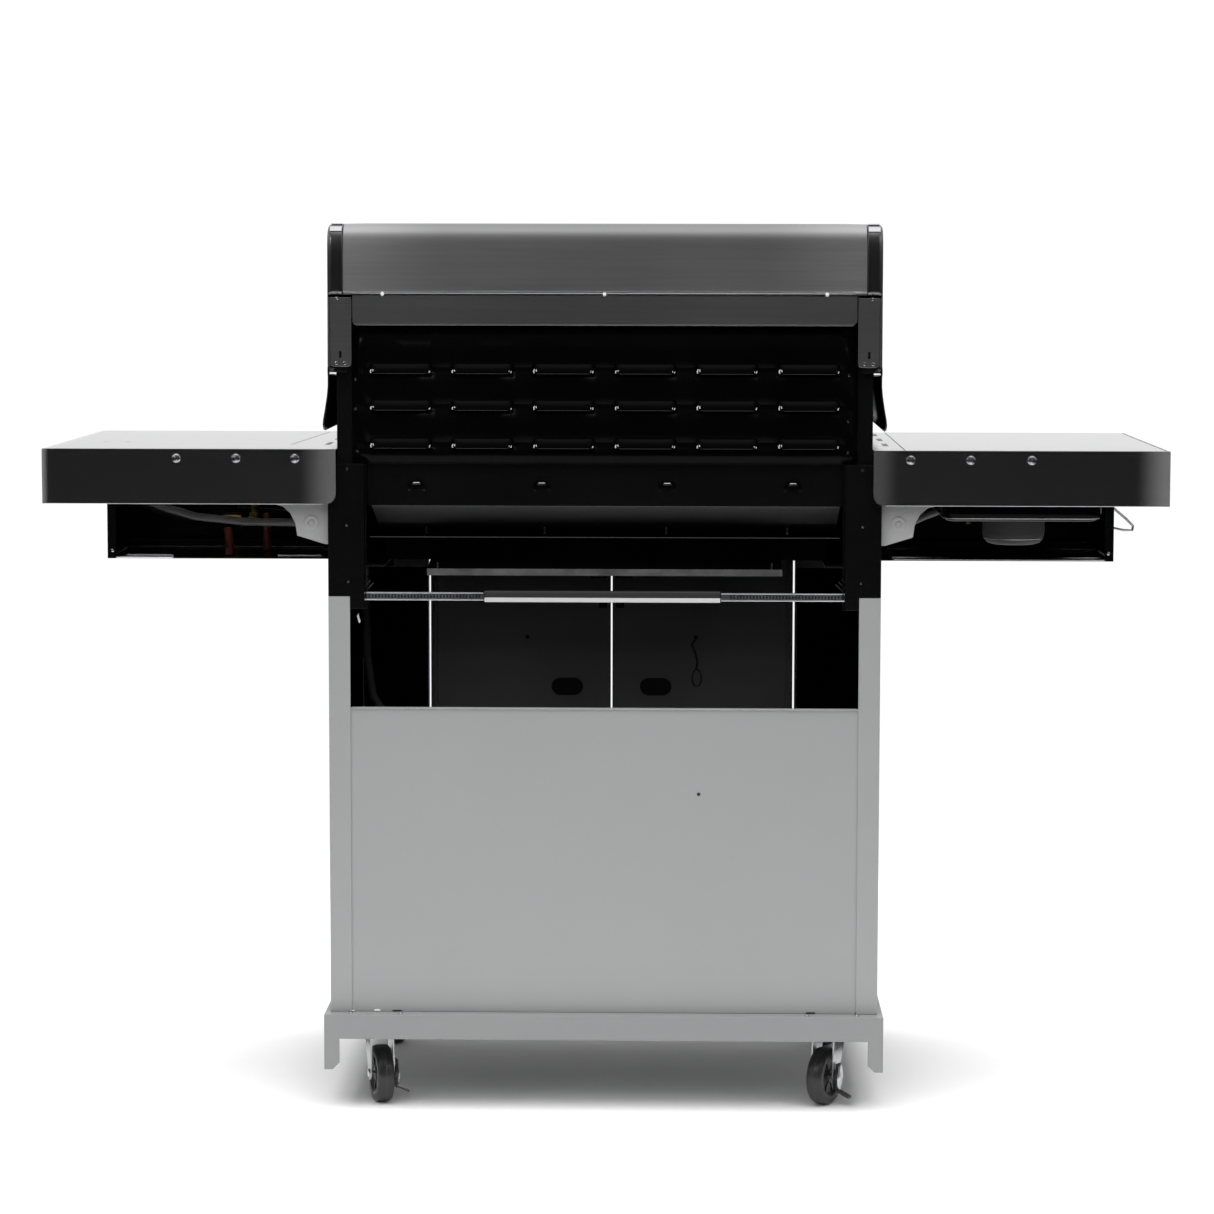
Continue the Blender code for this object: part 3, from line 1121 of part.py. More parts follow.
def hood_end(side, name, pivot):
    """A folded end of the hood: cap, hinge flange and web at the rear, flared foot, hinge pin."""
    rear = HOOD_REAR
    low = HOOD_BOTTOM - CAP_DROP
    inset = CAP_INSET
    cap = [(a, b - CAP_DROP) for a, b in HOOD_LINE] + [(rear, low)]
    shrink = [(HOOD_FRONT + inset, HOOD_BOTTOM - 2 * CUT)]
    shrink += [(a + (inset if a < 0 else -inset), b - inset - CAP_DROP) for a, b in HOOD_LINE[1:-1]]
    shrink += [(rear - inset, HOOD_LEDGE), (rear - inset, HOOD_BOTTOM - 2 * CUT)]
    x0, x1 = span(side, HOOD_HALF - HOOD_CAP, HOOD_HALF)
    body = prism(cap, "X", x0, x1)
    x0, x1 = span(side, HOOD_HALF - HOOD_CAP - CUT, HOOD_HALF - HEAVY_SHEET)
    hollow = prism(shrink, "X", x0, x1)
    notch = box(x0, x1, rear - 2 * CUT, rear + CUT, HOOD_BOTTOM - CUT, FLANGE_BOTTOM)
    shell = piece(name + "_shell", STAINLESS_DARK, [body], [hollow, notch])
    shell.hide_render = True

    flange_in = BAFFLE_HALF + 0.0015
    flange_top = HOOD_LEDGE - 0.003
    corner = FLANGE_CORNER
    flange = [
        (HOOD_HALF - OVERLAP, flange_top),
        (flange_in, flange_top),
        (flange_in, FLANGE_BOTTOM + corner),
        (flange_in + corner * 0.3, FLANGE_BOTTOM + corner * 0.3),
        (flange_in + corner, FLANGE_BOTTOM),
        (HOOD_HALF - OVERLAP, FLANGE_BOTTOM),
    ]
    tab = prism(both_sides(flange, side), "Y", rear, rear + HEAVY_SHEET)
    x0, x1 = span(side, HOOD_HALF - 3 * OVERLAP, HOOD_HALF - OVERLAP)
    web = box(x0, x1, rear - 0.004, rear + HEAVY_SHEET, FLANGE_BOTTOM, flange_top)
    flare = [
        (HOOD_HALF - HEAVY_SHEET, FLARE_TOP),
        (HOOD_HALF, FLARE_TOP),
        (HOOD_HALF + FLARE_OUT, FLARE_WIDEST),
        (HOOD_HALF + FLARE_OUT - 0.001, low),
        (HOOD_HALF + 0.001, low),
        (HOOD_HALF - HEAVY_SHEET, FLARE_WIDEST + 0.015),
    ]
    foot = prism(both_sides(flare, side), "Y", HOOD_FRONT + 0.003, rear - 0.004)
    pin0, pin1 = span(side, FIREBOX_HALF + FIT_GAP, HOOD_HALF - OVERLAP)
    pin = rod((pin0, HINGE_Y, HINGE_Z), (pin1, HINGE_Y, HINGE_Z), HINGE_PIN_R, 14)
    piece(name, STAINLESS_DARK, [shell, tab, web, foot, pin], pivot=pivot)


def thermometer_axis():
    """Points along the thermometer's axis, 0 on the hood's outer face and rising outward."""
    low = Vector((0.0, *HOOD_LINE[0]))
    high = Vector((0.0, *HOOD_LINE[1]))
    foot = low.lerp(high, GAUGE_SHARE)
    along = (high - low).normalized()
    outward = Vector((0.0, -along.z, along.y))
    return lambda distance: foot + outward * distance


def doors():
    back = BODY_FRONT_Y + DOOR_THICK
    mid = BODY_FRONT_Y + DOOR_THICK / 2
    radius = DOOR_THICK / 2
    axis_x = STILE_INNER - DOOR_GAP - radius
    inner = DOOR_GAP / 2
    for side, hand in ((-1, "left"), (1, "right")):
        outline = [(inner, BODY_FRONT_Y), (axis_x, BODY_FRONT_Y)]
        for step in range(1, 8):
            angle = math.radians(-90.0 + 180.0 * step / 8)
            outline.append((axis_x + radius * math.cos(angle), mid + radius * math.sin(angle)))
        outline += [(axis_x, back), (inner, back)]
        slab = prism(both_sides(outline, side), "Z", DOOR_BOTTOM, DOOR_TOP)
        x0, x1 = span(side, inner + SHEET, axis_x - DOOR_PIN_R - SHEET)
        cavity = box(x0, x1, BODY_FRONT_Y + SHEET, back - SHEET, DOOR_BOTTOM - CUT, DOOR_TOP - SHEET)
        x = side * axis_x
        pins = []
        for z0, z1 in (
            (BASE_TOP + FIT_GAP, DOOR_BOTTOM + DOOR_PIN_DEPTH),
            (DOOR_TOP - DOOR_PIN_DEPTH, PANEL_BOTTOM - FIT_GAP),
        ):
            pins.append(rod((x, mid, z0), (x, mid, z1), DOOR_PIN_R, 12))
        x0, x1 = span(side, *HAND_HOLE_X)
        hand_hole = box(x0, x1, back - SHEET - OVERLAP, back + CUT, *HAND_HOLE_Z)
        x0, x1 = span(side, *CATCH_X)
        catch = box(x0, x1, back - SHEET / 2, back + CATCH_DEPTH, *CATCH_Z)
        pivot = (x, mid, (DOOR_TOP + DOOR_BOTTOM) / 2)
        shell = piece(f"door_{hand}_shell", DOOR_PAINT, [slab], [cavity, hand_hole])
        shell.hide_render = True
        piece(f"door_{hand}", DOOR_PAINT, [shell] + pins + [catch], pivot=pivot)
        hx = side * DOOR_HANDLE_X
        bar_y = BODY_FRONT_Y - DOOR_HANDLE_OUT
        low, high = DOOR_HANDLE_Z
        solids = [rod((hx, bar_y, low), (hx, bar_y, high), DOOR_HANDLE_R, 12)]
        for z in (low + DOOR_HANDLE_POST_IN, high - DOOR_HANDLE_POST_IN):
            solids.append(rod((hx, bar_y, z), (hx, BODY_FRONT_Y - FIT_GAP, z), DOOR_HANDLE_POST_R, 12))
        piece(f"door_handle_{hand}", CHROME, solids, pivot=pivot)


def grease_tray():
    low = RAIL_LEDGE_TOP + FIT_GAP
    outer = box(-TRAY_HALF, TRAY_HALF, TRAY_FRONT, TRAY_REAR, low, TRAY_RIM)
    inner = TRAY_HALF - SHEET
    hollow = box(-inner, inner, TRAY_FRONT + SHEET, TRAY_REAR - SHEET, low + SHEET, TRAY_RIM + CUT)
    apron_line = [
        (TRAY_REAR - SHEET, low),
        (GRIP_REAR - GRIP_FOLD, GRIP_TOP - SHEET),
        (GRIP_REAR, GRIP_TOP - SHEET),
    ]
    apron = bent(apron_line, SHEET, "X", -GRIP_HALF, GRIP_HALF)
    lip = box(-GRIP_HALF, GRIP_HALF, GRIP_REAR - SHEET, GRIP_REAR, GRIP_BOTTOM, GRIP_TOP)
    piece("grease_tray", ZINC, [outer, apron, lip], [hollow], pivot=(0.0, TRAY_REAR, low))


def caster(corner, side, y, braked):
    centre = Vector((side * CASTER_X, y, 0.0))
    place = Matrix.Translation(centre) @ Matrix.Rotation(math.radians(CASTER_YAW[corner]), 4, "Z")
    top = PLATE_BOTTOM - FIT_GAP
    axle = Vector((-TRAIL, 0.0, WHEEL_R))
    crown_low, crown_top = CROWN_Z

    disc_low = crown_top - 0.003
    disc = [
        (0.0, disc_low),
        (RACE_R - 0.006, disc_low),
        (RACE_R, crown_top + 0.002),
        (RACE_R, top),
        (0.0, top),
    ]
    race = lathe(disc, (0.0, 0.0, 0.0), "Z", 16)
    crown = box(-0.022, 0.019, -FORK_HALF, FORK_HALF, crown_low, crown_top)
    arch = []
    for step in range(7):
        angle = math.radians(180.0 + 180.0 * step / 6)
        arch.append((axle.x + HUB_R * math.cos(angle), axle.z + HUB_R * math.sin(angle)))
    leg_top = crown_top - OVERLAP
    outline = [(0.018, leg_top), (-0.021, leg_top), (axle.x - HUB_R, WHEEL_R + 0.020)]
    outline += arch + [(0.010, crown_low - 0.014)]
    legs = [prism(outline, "Y", low, low + FORK_SHEET) for low in (-FORK_HALF, FORK_HALF - FORK_SHEET)]
    pin_y = (-FORK_HALF + OVERLAP, FORK_HALF + 0.002)
    pin = rod((axle.x, pin_y[0], axle.z), (axle.x, pin_y[1], axle.z), AXLE_R, 12)
    swivel = centre + Vector((0, 0, top))
    piece(f"caster_fork_{corner}", ZINC, [race, crown, pin] + legs, pivot=swivel, place=place)

    tyre = [
        (AXLE_R + SLIDE_GAP, -WHEEL_HALF),
        (WHEEL_R * 0.72, -WHEEL_HALF + 0.0015),
        (WHEEL_R - 0.003, -WHEEL_HALF),
        (WHEEL_R, -WHEEL_HALF + 0.003),
    ]
    tyre += [(radius, -height) for radius, height in reversed(tyre)]
    wheel = lathe(tyre, axle, "Y", 24)
    piece(f"caster_wheel_{corner}", TYRE, [wheel], pivot=place @ axle, place=place)

    if not braked:
        return
    outer = -FORK_HALF - SLIDE_GAP
    plate_end = outer - BRAKE_PLATE_DEPTH
    plate = rod((axle.x, outer, axle.z), (axle.x, plate_end, axle.z), BRAKE_PLATE_R, 14)
    wing = [(axle.x + a, axle.z + b) for a, b in BRAKE_WING]
    blade = prism(wing, "Y", outer - 0.004, outer - 0.002)
    tread = [(outer - out, axle.z + drop) for out, drop in PEDAL_LINE]
    pedal = prism(tread, "X", axle.x - PEDAL_HALF, axle.x + PEDAL_HALF)
    solids = [plate, blade, pedal]
    piece(f"caster_brake_{corner}", BRAKE_BLACK, solids, pivot=place @ axle, place=place)


def build():
    base_tray()
    side_panels()
    rear_panel()
    supports()
    firebox()
    louvred_back()
    tray_rail()
    shelves()
    shelf_brackets()
    side_burner_set()
    control_panel()
    knobs()
    ignition()
    gas_parts()
    burners()
    grates()
    hook()
    hood()
    doors()
    grease_tray()
    caster("rear_right", 1, CASTER_REAR_Y, True)
    caster("rear_left", -1, CASTER_REAR_Y, True)
    caster("front_right", 1, CASTER_FRONT_Y, False)
    caster("front_left", -1, CASTER_FRONT_Y, False)


for existing in list(bpy.data.objects):
    bpy.data.objects.remove(existing)

GREY_PAINT = material("grey_paint", (0.30, 0.30, 0.30), 0.45, 0.2)
PALE_PAINT = material("pale_paint", (0.50, 0.50, 0.50), 0.45, 0.2)
DOOR_PAINT = material("door_paint", (0.02, 0.02, 0.021), 0.45, 0.0)
BLACK_ENAMEL = material("black_enamel", (0.012, 0.012, 0.013), 0.25, 0.0)
STAINLESS = material("stainless", (0.60, 0.60, 0.60), 0.28, 1.0)
STAINLESS_DARK = material("stainless_hood", (0.42, 0.42, 0.43), 0.30, 1.0)
ZINC = material("zinc", (0.55, 0.56, 0.58), 0.35, 1.0)
CHROME = material("chrome", (0.70, 0.70, 0.71), 0.15, 1.0)
CAST_IRON = material("cast_iron", (0.03, 0.03, 0.03), 0.7, 0.3)
BRASS = material("brass", (0.62, 0.45, 0.18), 0.3, 1.0)
HOSE_RUBBER = material("hose_rubber", (0.10, 0.10, 0.10), 0.6, 0.0)
KNOB_METAL = material("knob_metal", (0.45, 0.45, 0.46), 0.3, 1.0)
KNOB_DARK = material("knob_dark", (0.02, 0.02, 0.02), 0.4, 0.0)
TYRE = material("tyre", (0.015, 0.015, 0.015), 0.7, 0.0)
BRAKE_BLACK = material("brake_black", (0.02, 0.02, 0.02), 0.5, 0.0)

build()
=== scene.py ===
"""Gas barbecue grill, seen from behind: looks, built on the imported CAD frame."""

import json
import math
import random

import bmesh
import bpy
from mathutils import Matrix, Vector


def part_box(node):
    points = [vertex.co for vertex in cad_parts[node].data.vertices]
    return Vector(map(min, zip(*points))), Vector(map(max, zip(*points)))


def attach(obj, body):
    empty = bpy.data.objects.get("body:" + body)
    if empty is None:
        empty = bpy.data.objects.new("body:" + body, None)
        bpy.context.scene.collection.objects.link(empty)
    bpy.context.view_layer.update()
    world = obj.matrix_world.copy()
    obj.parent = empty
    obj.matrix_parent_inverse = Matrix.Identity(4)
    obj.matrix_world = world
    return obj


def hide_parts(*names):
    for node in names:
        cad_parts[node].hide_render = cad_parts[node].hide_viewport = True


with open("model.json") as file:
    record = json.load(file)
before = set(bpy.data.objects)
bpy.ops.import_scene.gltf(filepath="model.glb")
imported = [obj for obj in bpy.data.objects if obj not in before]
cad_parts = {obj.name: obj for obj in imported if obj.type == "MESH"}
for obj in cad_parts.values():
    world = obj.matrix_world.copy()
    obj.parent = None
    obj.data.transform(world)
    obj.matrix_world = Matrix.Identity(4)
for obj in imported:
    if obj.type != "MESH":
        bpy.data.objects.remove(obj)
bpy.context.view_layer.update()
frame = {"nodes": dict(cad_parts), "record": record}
record = frame["record"]
joints = {j["name"]: j for j in record["behaviour"]["joints"]}
body_of_node = {n: b for b, ns in record["behaviour"]["bodies"].items() for n in ns}
slot_of_node = {s["node"]: s["material_slot"] for s in record["subparts"]}


# ------------------------------------------------------------------ materials
def node(tree, kind, **values):
    """A shader node; in_0 and the like set an input, every other name sets a property."""
    made = tree.nodes.new(kind)
    for key, value in values.items():
        if key.startswith("in_"):
            made.inputs[int(key[3:])].default_value = value
        else:
            setattr(made, key, value)
    return made


def maths(tree, operation, *given):
    """The result of a maths node fed with sockets or numbers."""
    made = node(tree, "ShaderNodeMath", operation=operation)
    for socket, value in zip(made.inputs, given):
        if isinstance(value, float):
            socket.default_value = value
        else:
            tree.links.new(value, socket)
    return made.outputs[0]


def eased(tree, value, start, end, low=0.0, high=1.0):
    """A smooth step from low to high while the socket goes from start to end."""
    made = node(tree, "ShaderNodeMapRange", interpolation_type="SMOOTHSTEP")
    for key, number in (("From Min", start), ("From Max", end), ("To Min", low), ("To Max", high)):
        made.inputs[key].default_value = number
    tree.links.new(value, made.inputs["Value"])
    return made.outputs["Result"]


def object_axes(tree):
    """The object's own X, Y and Z as sockets."""
    where = node(tree, "ShaderNodeTexCoord")
    cut = node(tree, "ShaderNodeSeparateXYZ")
    tree.links.new(where.outputs["Object"], cut.inputs[0])
    return cut.outputs


def surface(
    name,
    colour,
    rough,
    metal=0.0,
    stretch=(1.0, 1.0, 1.0),
    grain=300.0,
    grain_mix=0.12,
    cloud=3.0,
    cloud_mix=0.1,
    rough_swing=0.06,
    bump=0.1,
    bump_depth=0.0003,
):
    """A procedural surface: stretched grain and slow cloudiness drive colour, roughness and bump."""
    made = bpy.data.materials.new(name)
    made.use_nodes = True
    tree = made.node_tree
    shader = tree.nodes["Principled BSDF"]
    link = tree.links.new
    where = node(tree, "ShaderNodeTexCoord")
    scale = node(tree, "ShaderNodeMapping")
    scale.inputs["Scale"].default_value = stretch
    link(where.outputs["Object"], scale.inputs["Vector"])
    fine = node(tree, "ShaderNodeTexNoise")
    fine.inputs["Scale"].default_value = grain
    fine.inputs["Detail"].default_value = 3.0
    fine.inputs["Roughness"].default_value = 0.6
    link(scale.outputs["Vector"], fine.inputs["Vector"])
    slow = node(tree, "ShaderNodeTexNoise")
    slow.inputs["Scale"].default_value = cloud
    slow.inputs["Detail"].default_value = 4.0
    link(where.outputs["Object"], slow.inputs["Vector"])

    def shade(factor):
        return tuple(min(1.0, c * factor) for c in colour) + (1.0,)

    first = node(tree, "ShaderNodeMix", data_type="RGBA")
    first.inputs[6].default_value = shade(1.0 - grain_mix)
    first.inputs[7].default_value = shade(1.0 + grain_mix)
    link(fine.outputs["Fac"], first.inputs[0])
    second = node(tree, "ShaderNodeMix", data_type="RGBA", blend_type="MULTIPLY")
    ramp = node(tree, "ShaderNodeValToRGB")
    ramp.color_ramp.elements[0].position = 0.3
    ramp.color_ramp.elements[0].color = (1 - cloud_mix, 1 - cloud_mix, 1 - cloud_mix, 1)
    ramp.color_ramp.elements[1].position = 0.7
    link(slow.outputs["Fac"], ramp.inputs["Fac"])
    second.inputs[0].default_value = 1.0
    link(first.outputs[2], second.inputs[6])
    link(ramp.outputs["Color"], second.inputs[7])
    link(second.outputs[2], shader.inputs["Base Color"])

    swing = node(tree, "ShaderNodeMapRange")
    swing.inputs["To Min"].default_value = max(0.02, rough - rough_swing)
    swing.inputs["To Max"].default_value = min(1.0, rough + rough_swing)
    both = maths(tree, "ADD", fine.outputs["Fac"], slow.outputs["Fac"])
    link(maths(tree, "MULTIPLY", both, 0.5), swing.inputs["Value"])
    link(swing.outputs["Result"], shader.inputs["Roughness"])

    lift = node(tree, "ShaderNodeBump")
    lift.inputs["Strength"].default_value = bump
    lift.inputs["Distance"].default_value = bump_depth
    link(fine.outputs["Fac"], lift.inputs["Height"])
    link(lift.outputs["Normal"], shader.inputs["Normal"])
    shader.inputs["Metallic"].default_value = metal
    return made


ALONG_X = (0.012, 1.0, 1.0)
ALONG_Y = (1.0, 0.012, 1.0)
ALONG_Z = (1.0, 1.0, 0.012)
BRUSH = {"metal": 1.0, "stretch": ALONG_X, "grain": 420.0, "bump_depth": 0.0001}
SHEET_BRUSH = {
    **BRUSH, "grain_mix": 0.08, "cloud": 2.2, "cloud_mix": 0.06, "bump": 0.035, "rough_swing": 0.05
}
HOOD_BRUSH = {**BRUSH, "grain_mix": 0.12, "cloud": 2.0, "cloud_mix": 0.12, "bump": 0.05}
POWDER = {"grain": 1400.0, "grain_mix": 0.05, "bump": 0.18, "bump_depth": 0.0002}
ENAMEL = {"grain": 260.0, "grain_mix": 0.15, "cloud": 7.0, "cloud_mix": 0.3, "bump": 0.04}

# one look for each material slot of the record
M = {
    "grey_paint": surface(
        "grey_powder_coat", (0.3, 0.303, 0.305), 0.45, cloud=1.6, cloud_mix=0.05, **POWDER
    ),
    "pale_paint": surface("pale_powder_coat", (0.36, 0.365, 0.36), 0.45, **POWDER),
    "door_paint": surface(
        "door_inner_paint", (0.19, 0.19, 0.193), 0.55, grain=900.0, grain_mix=0.1, cloud=5.0,
        cloud_mix=0.25, bump=0.12
    ),
    "black_enamel": surface("black_enamel", (0.0035, 0.0035, 0.0038), 0.17, **ENAMEL),
    "stainless": surface("brushed_stainless", (0.6, 0.6, 0.605), 0.21, **SHEET_BRUSH),
    "stainless_hood": surface("brushed_stainless_hood", (0.36, 0.36, 0.363), 0.42, **HOOD_BRUSH),
    "zinc": surface(
        "zinc_plate", (0.6, 0.605, 0.62), 0.3, metal=1.0, grain=240.0, grain_mix=0.16, cloud=24.0,
        cloud_mix=0.25, bump=0.1, rough_swing=0.12
    ),
    "chrome": surface(
        "chrome_plate", (0.66, 0.66, 0.67), 0.12, metal=1.0, grain=400.0, grain_mix=0.04, cloud=8.0,
        cloud_mix=0.06, bump=0.03, rough_swing=0.05
    ),
    "cast_iron": surface(
        "enamelled_cast_iron", (0.022, 0.022, 0.022), 0.55, grain=520.0, grain_mix=0.3, cloud=12.0,
        cloud_mix=0.35, bump=0.55, bump_depth=0.0006
    ),
    "brass": surface(
        "turned_brass", (0.5, 0.34, 0.12), 0.3, metal=1.0, grain=420.0, grain_mix=0.14, cloud=30.0,
        cloud_mix=0.25, bump=0.1
    ),
    "hose_rubber": surface(
        "hose_rubber", (0.055, 0.055, 0.054), 0.52, grain=700.0, grain_mix=0.18, cloud=18.0, cloud_mix=0.2,
        bump=0.35
    ),
    "knob_metal": surface(
        "knob_metal", (0.48, 0.48, 0.485), 0.24, metal=1.0, stretch=ALONG_Y, grain=700.0, grain_mix=0.1,
        bump=0.08
    ),
    "knob_dark": surface(
        "knob_plastic", (0.016, 0.016, 0.017), 0.38, grain=1100.0, grain_mix=0.15, bump=0.25
    ),
    "tyre": surface(
        "tyre_rubber", (0.014, 0.014, 0.0145), 0.33, grain=800.0, grain_mix=0.3, cloud=30.0, cloud_mix=0.3,
        bump=0.3, rough_swing=0.12
    ),
    "brake_black": surface("brake_black", (0.02, 0.02, 0.021), 0.35, grain=900.0, grain_mix=0.15, bump=0.2),
}
# A darker copy of the grey powder coat for the base tray: painted shade, offsetting the extra floor light
# the base receives.
BASE_GREY_SHADED = surface("base_powder_coat_shaded", (0.235, 0.238, 0.24), 0.45, cloud=1.6, cloud_mix=0.05, **POWDER)
HUB = surface("wheel_hub_plastic", (0.008, 0.008, 0.009), 0.35, grain=900.0, grain_mix=0.2, bump=0.2)
WIRE_RED = surface("wire_sleeve_red", (0.1, 0.014, 0.008), 0.45, grain=900.0, grain_mix=0.15, bump=0.25)
# A paler grey enamel than the black, for the firebox's sloping underside and the floor of the side burner's
# bowl.
SLOPE = surface(
    "paler_grey_enamel", (0.052, 0.052, 0.053), 0.62, grain=500.0, grain_mix=0.18, cloud=6.0,
    cloud_mix=0.15, bump=0.2
)
SLOPE.node_tree.nodes["Principled BSDF"].inputs["Specular IOR Level"].default_value = 0.12
LOUVRE = surface("louvre_enamel", (0.0014, 0.0014, 0.0015), 0.2, **ENAMEL)
LOUVRE.node_tree.nodes["Principled BSDF"].inputs["Specular IOR Level"].default_value = 0.05
GRIP = surface(
    "worn_zinc", (0.15, 0.15, 0.152), 0.42, metal=0.5, grain=70.0, grain_mix=0.45, cloud=16.0,
    cloud_mix=0.55, bump=0.25, rough_swing=0.15
)
# A darkened steel for the burners: painted shade of the firebox they sit in.
BURNER_SHADE_STEEL = surface(
    "burner_steel_painted_shade", (0.07, 0.066, 0.062), 0.48, metal=0.8, grain=300.0, grain_mix=0.25, cloud=20.0,
    cloud_mix=0.5, bump=0.12
)
SLEEVE = surface(
    "rail_sleeve", (0.03, 0.03, 0.031), 0.4, metal=0.2, stretch=ALONG_X, grain=420.0, grain_mix=0.25,
    bump=0.1
)
# A pale, mostly diffuse white for painted highlights: the glints at the louvre ends, the ledge screw heads
# and the rail sleeve's lower edge.
GLINT_WHITE = surface(
    "painted_glint_white", (0.62, 0.62, 0.61), 0.35, metal=0.15, stretch=ALONG_X, grain=420.0, grain_mix=0.1,
    bump=0.08
)
HOOD_DARK = surface("hood_liner", (0.05, 0.05, 0.052), 0.45, metal=0.6, grain=500.0, bump=0.2)
DIAL = surface("dial_face", (0.72, 0.72, 0.71), 0.35, grain=900.0, grain_mix=0.03, bump=0.05)
SCREW = surface("screw_steel", (0.62, 0.62, 0.64), 0.22, metal=1.0, grain=900.0, grain_mix=0.12, bump=0.1)


def shade_by_axes(made, terms):
    """Paints light and shade: multiplies the colour by smooth steps along object axes: (axis, start, end,
    low, high).
    An axis written with a bar counts both ways from the middle."""
    tree = made.node_tree
    base = tree.nodes["Principled BSDF"].inputs["Base Color"]
    source = base.links[0].from_socket
    axes = object_axes(tree)
    total = None
    for axis, start, end, low, high in terms:
        value = axes[axis[-1]]
        if axis[0] == "|":
            value = maths(tree, "ABSOLUTE", value)
        step = eased(tree, value, start, end, low, high)
        total = step if total is None else maths(tree, "MULTIPLY", total, step)
    blend = node(tree, "ShaderNodeMix", data_type="RGBA", blend_type="MULTIPLY", in_0=1.0)
    tree.links.new(source, blend.inputs[6])
    tree.links.new(total, blend.inputs[7])
    tree.links.new(blend.outputs[2], base)
    return made


# A lighter copy of the hood steel for the skin's rear-facing part, with painted shade darkening it toward
# the top and painted reflections lightening it toward both ends.
HOOD_REAR_PAINTED_LIGHT = shade_by_axes(
    surface("brushed_hood_rear_painted_light", (0.66, 0.66, 0.665), 0.42, **HOOD_BRUSH),
    (("Z", 1.11, 1.146, 1.0, 0.55), ("|X", 0.2, 0.336, 1.0, 1.4)),
)
# The end caps' steel, with painted shade darkening it toward the rear.
HOOD_CAP_PAINTED_SHADE = shade_by_axes(
    surface(
        "brushed_hood_cap_painted_shade", (0.42, 0.42, 0.425), 0.3, metal=1.0, stretch=ALONG_Z, grain=420.0,
        grain_mix=0.2, cloud=9.0, cloud_mix=0.3, bump=0.08, bump_depth=0.0001, rough_swing=0.06
    ),
    (("Y", 0.2, 0.26, 1.0, 0.5),),
)


# ------------------------------------------------------------------ building
TURN = 2 * math.pi
TO_REAR = (0, 1, 0)
TO_FRONT = (0, -1, 0)
SHEET = 0.0012


def finish_mesh(name, build, paint, body, smooth=35.0, bevel=0.0, slot=None):
    """Makes the object, rounds its edges and lets it ride on its body."""
    bmesh.ops.recalc_face_normals(build, faces=build.faces)
    mesh = bpy.data.meshes.new(name)
    build.to_mesh(mesh)
    build.free()
    made = bpy.data.objects.new(name, mesh)
    bpy.context.scene.collection.objects.link(made)
    mesh.materials.append(paint)
    for face in mesh.polygons:
        face.use_smooth = True
    if bevel:
        edge = made.modifiers.new("edge", "BEVEL")
        edge.width = bevel
        edge.segments = 2
        edge.limit_method = "ANGLE"
        edge.angle_limit = math.radians(35)
        edge.harden_normals = True
    mesh.set_sharp_from_angle(angle=math.radians(smooth))
    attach(made, body)
    return made


def dressed(name, build, slot, body="frame", **look):
    """A finished mesh with the colour of the slot of the same name."""
    return finish_mesh(name, build, M[slot], body, slot=slot, **look)


def bridge(build, one, two, closed=True):
    """Faces between two rows of vertices of the same length."""
    count = len(one)
    for i in range(count if closed else count - 1):
        j = (i + 1) % count
        build.faces.new((one[i], one[j], two[j], two[i]))


def add_ring(build, points):
    """Vertices for the points."""
    return [build.verts.new(p) for p in points]


def add_prism(build, outline, axis, start, end):
    """A solid bar: the outline pushed along the axis from start to end."""
    place = {
        "X": lambda a, b, along: (along, a, b),
        "Y": lambda a, b, along: (a, along, b),
        "Z": lambda a, b, along: (a, b, along),
    }[axis]
    first, last = (add_ring(build, [place(a, b, along) for a, b in outline]) for along in (start, end))
    build.faces.new(first)
    build.faces.new(last)
    bridge(build, first, last)


def add_box(build, x0, x1, y0, y1, z0, z1):
    add_prism(build, [(x0, y0), (x1, y0), (x1, y1), (x0, y1)], "Z", z0, z1)


def add_lathe(build, profile, centre, toward, segments=24):
    """Profile of (radius, height) turned about the direction toward, from centre."""
    spin = Vector((0, 0, 1)).rotation_difference(Vector(toward)).to_matrix()
    rings = []
    for radius, height in profile:
        count = 1 if radius == 0 else segments
        ring = []
        for i in range(count):
            angle = TURN * i / segments
            local = Vector((radius * math.cos(angle), radius * math.sin(angle), height))
            ring.append(build.verts.new(spin @ local + Vector(centre)))
        rings.append(ring)
    for one, two in zip(rings, rings[1:]):
        for i in range(segments):
            j = (i + 1) % segments
            around = [one[i % len(one)], one[j % len(one)], two[j % len(two)], two[i % len(two)]]
            kept = list(dict.fromkeys(around))
            if len(kept) > 2:
                build.faces.new(kept)


def add_tube(build, path, radius, segments=10, capped=True):
    """A round bar or wire along the path."""
    points = [Vector(p) for p in path]
    rings = []
    side = None
    for i, point in enumerate(points):
        before = (point - points[i - 1]).normalized() if i else None
        after = (points[i + 1] - point).normalized() if i + 1 < len(points) else None
        before = before or after
        after = after or before
        along = (before + after).normalized()
        side = side or along.orthogonal().normalized()
        side = (side - along * side.dot(along)).normalized()
        other = along.cross(side)
        angles = [TURN * k / segments for k in range(segments)]
        rings.append(
            add_ring(build, [point + (side * math.cos(a) + other * math.sin(a)) * radius for a in angles])
        )
    for one, two in zip(rings, rings[1:]):
        bridge(build, one, two)
    if capped:
        build.faces.new(rings[0])
        build.faces.new(rings[-1])


def smooth_path(points, steps=6):
    """Catmull-Rom through the points."""
    p = [Vector(q) for q in points]
    p = [p[0] * 2 - p[1]] + p + [p[-1] * 2 - p[-2]]
    out = []
    for i in range(1, len(p) - 2):
        for s in range(steps):
            t = s / steps
            out.append(
                0.5
                * (
                    2 * p[i]
                    + (p[i + 1] - p[i - 1]) * t
                    + (2 * p[i - 1] - 5 * p[i] + 4 * p[i + 1] - p[i + 2]) * t * t
                    + (3 * p[i] - p[i - 1] - 3 * p[i + 1] + p[i + 2]) * t * t * t
                )
            )
    out.append(p[-2])
    return out


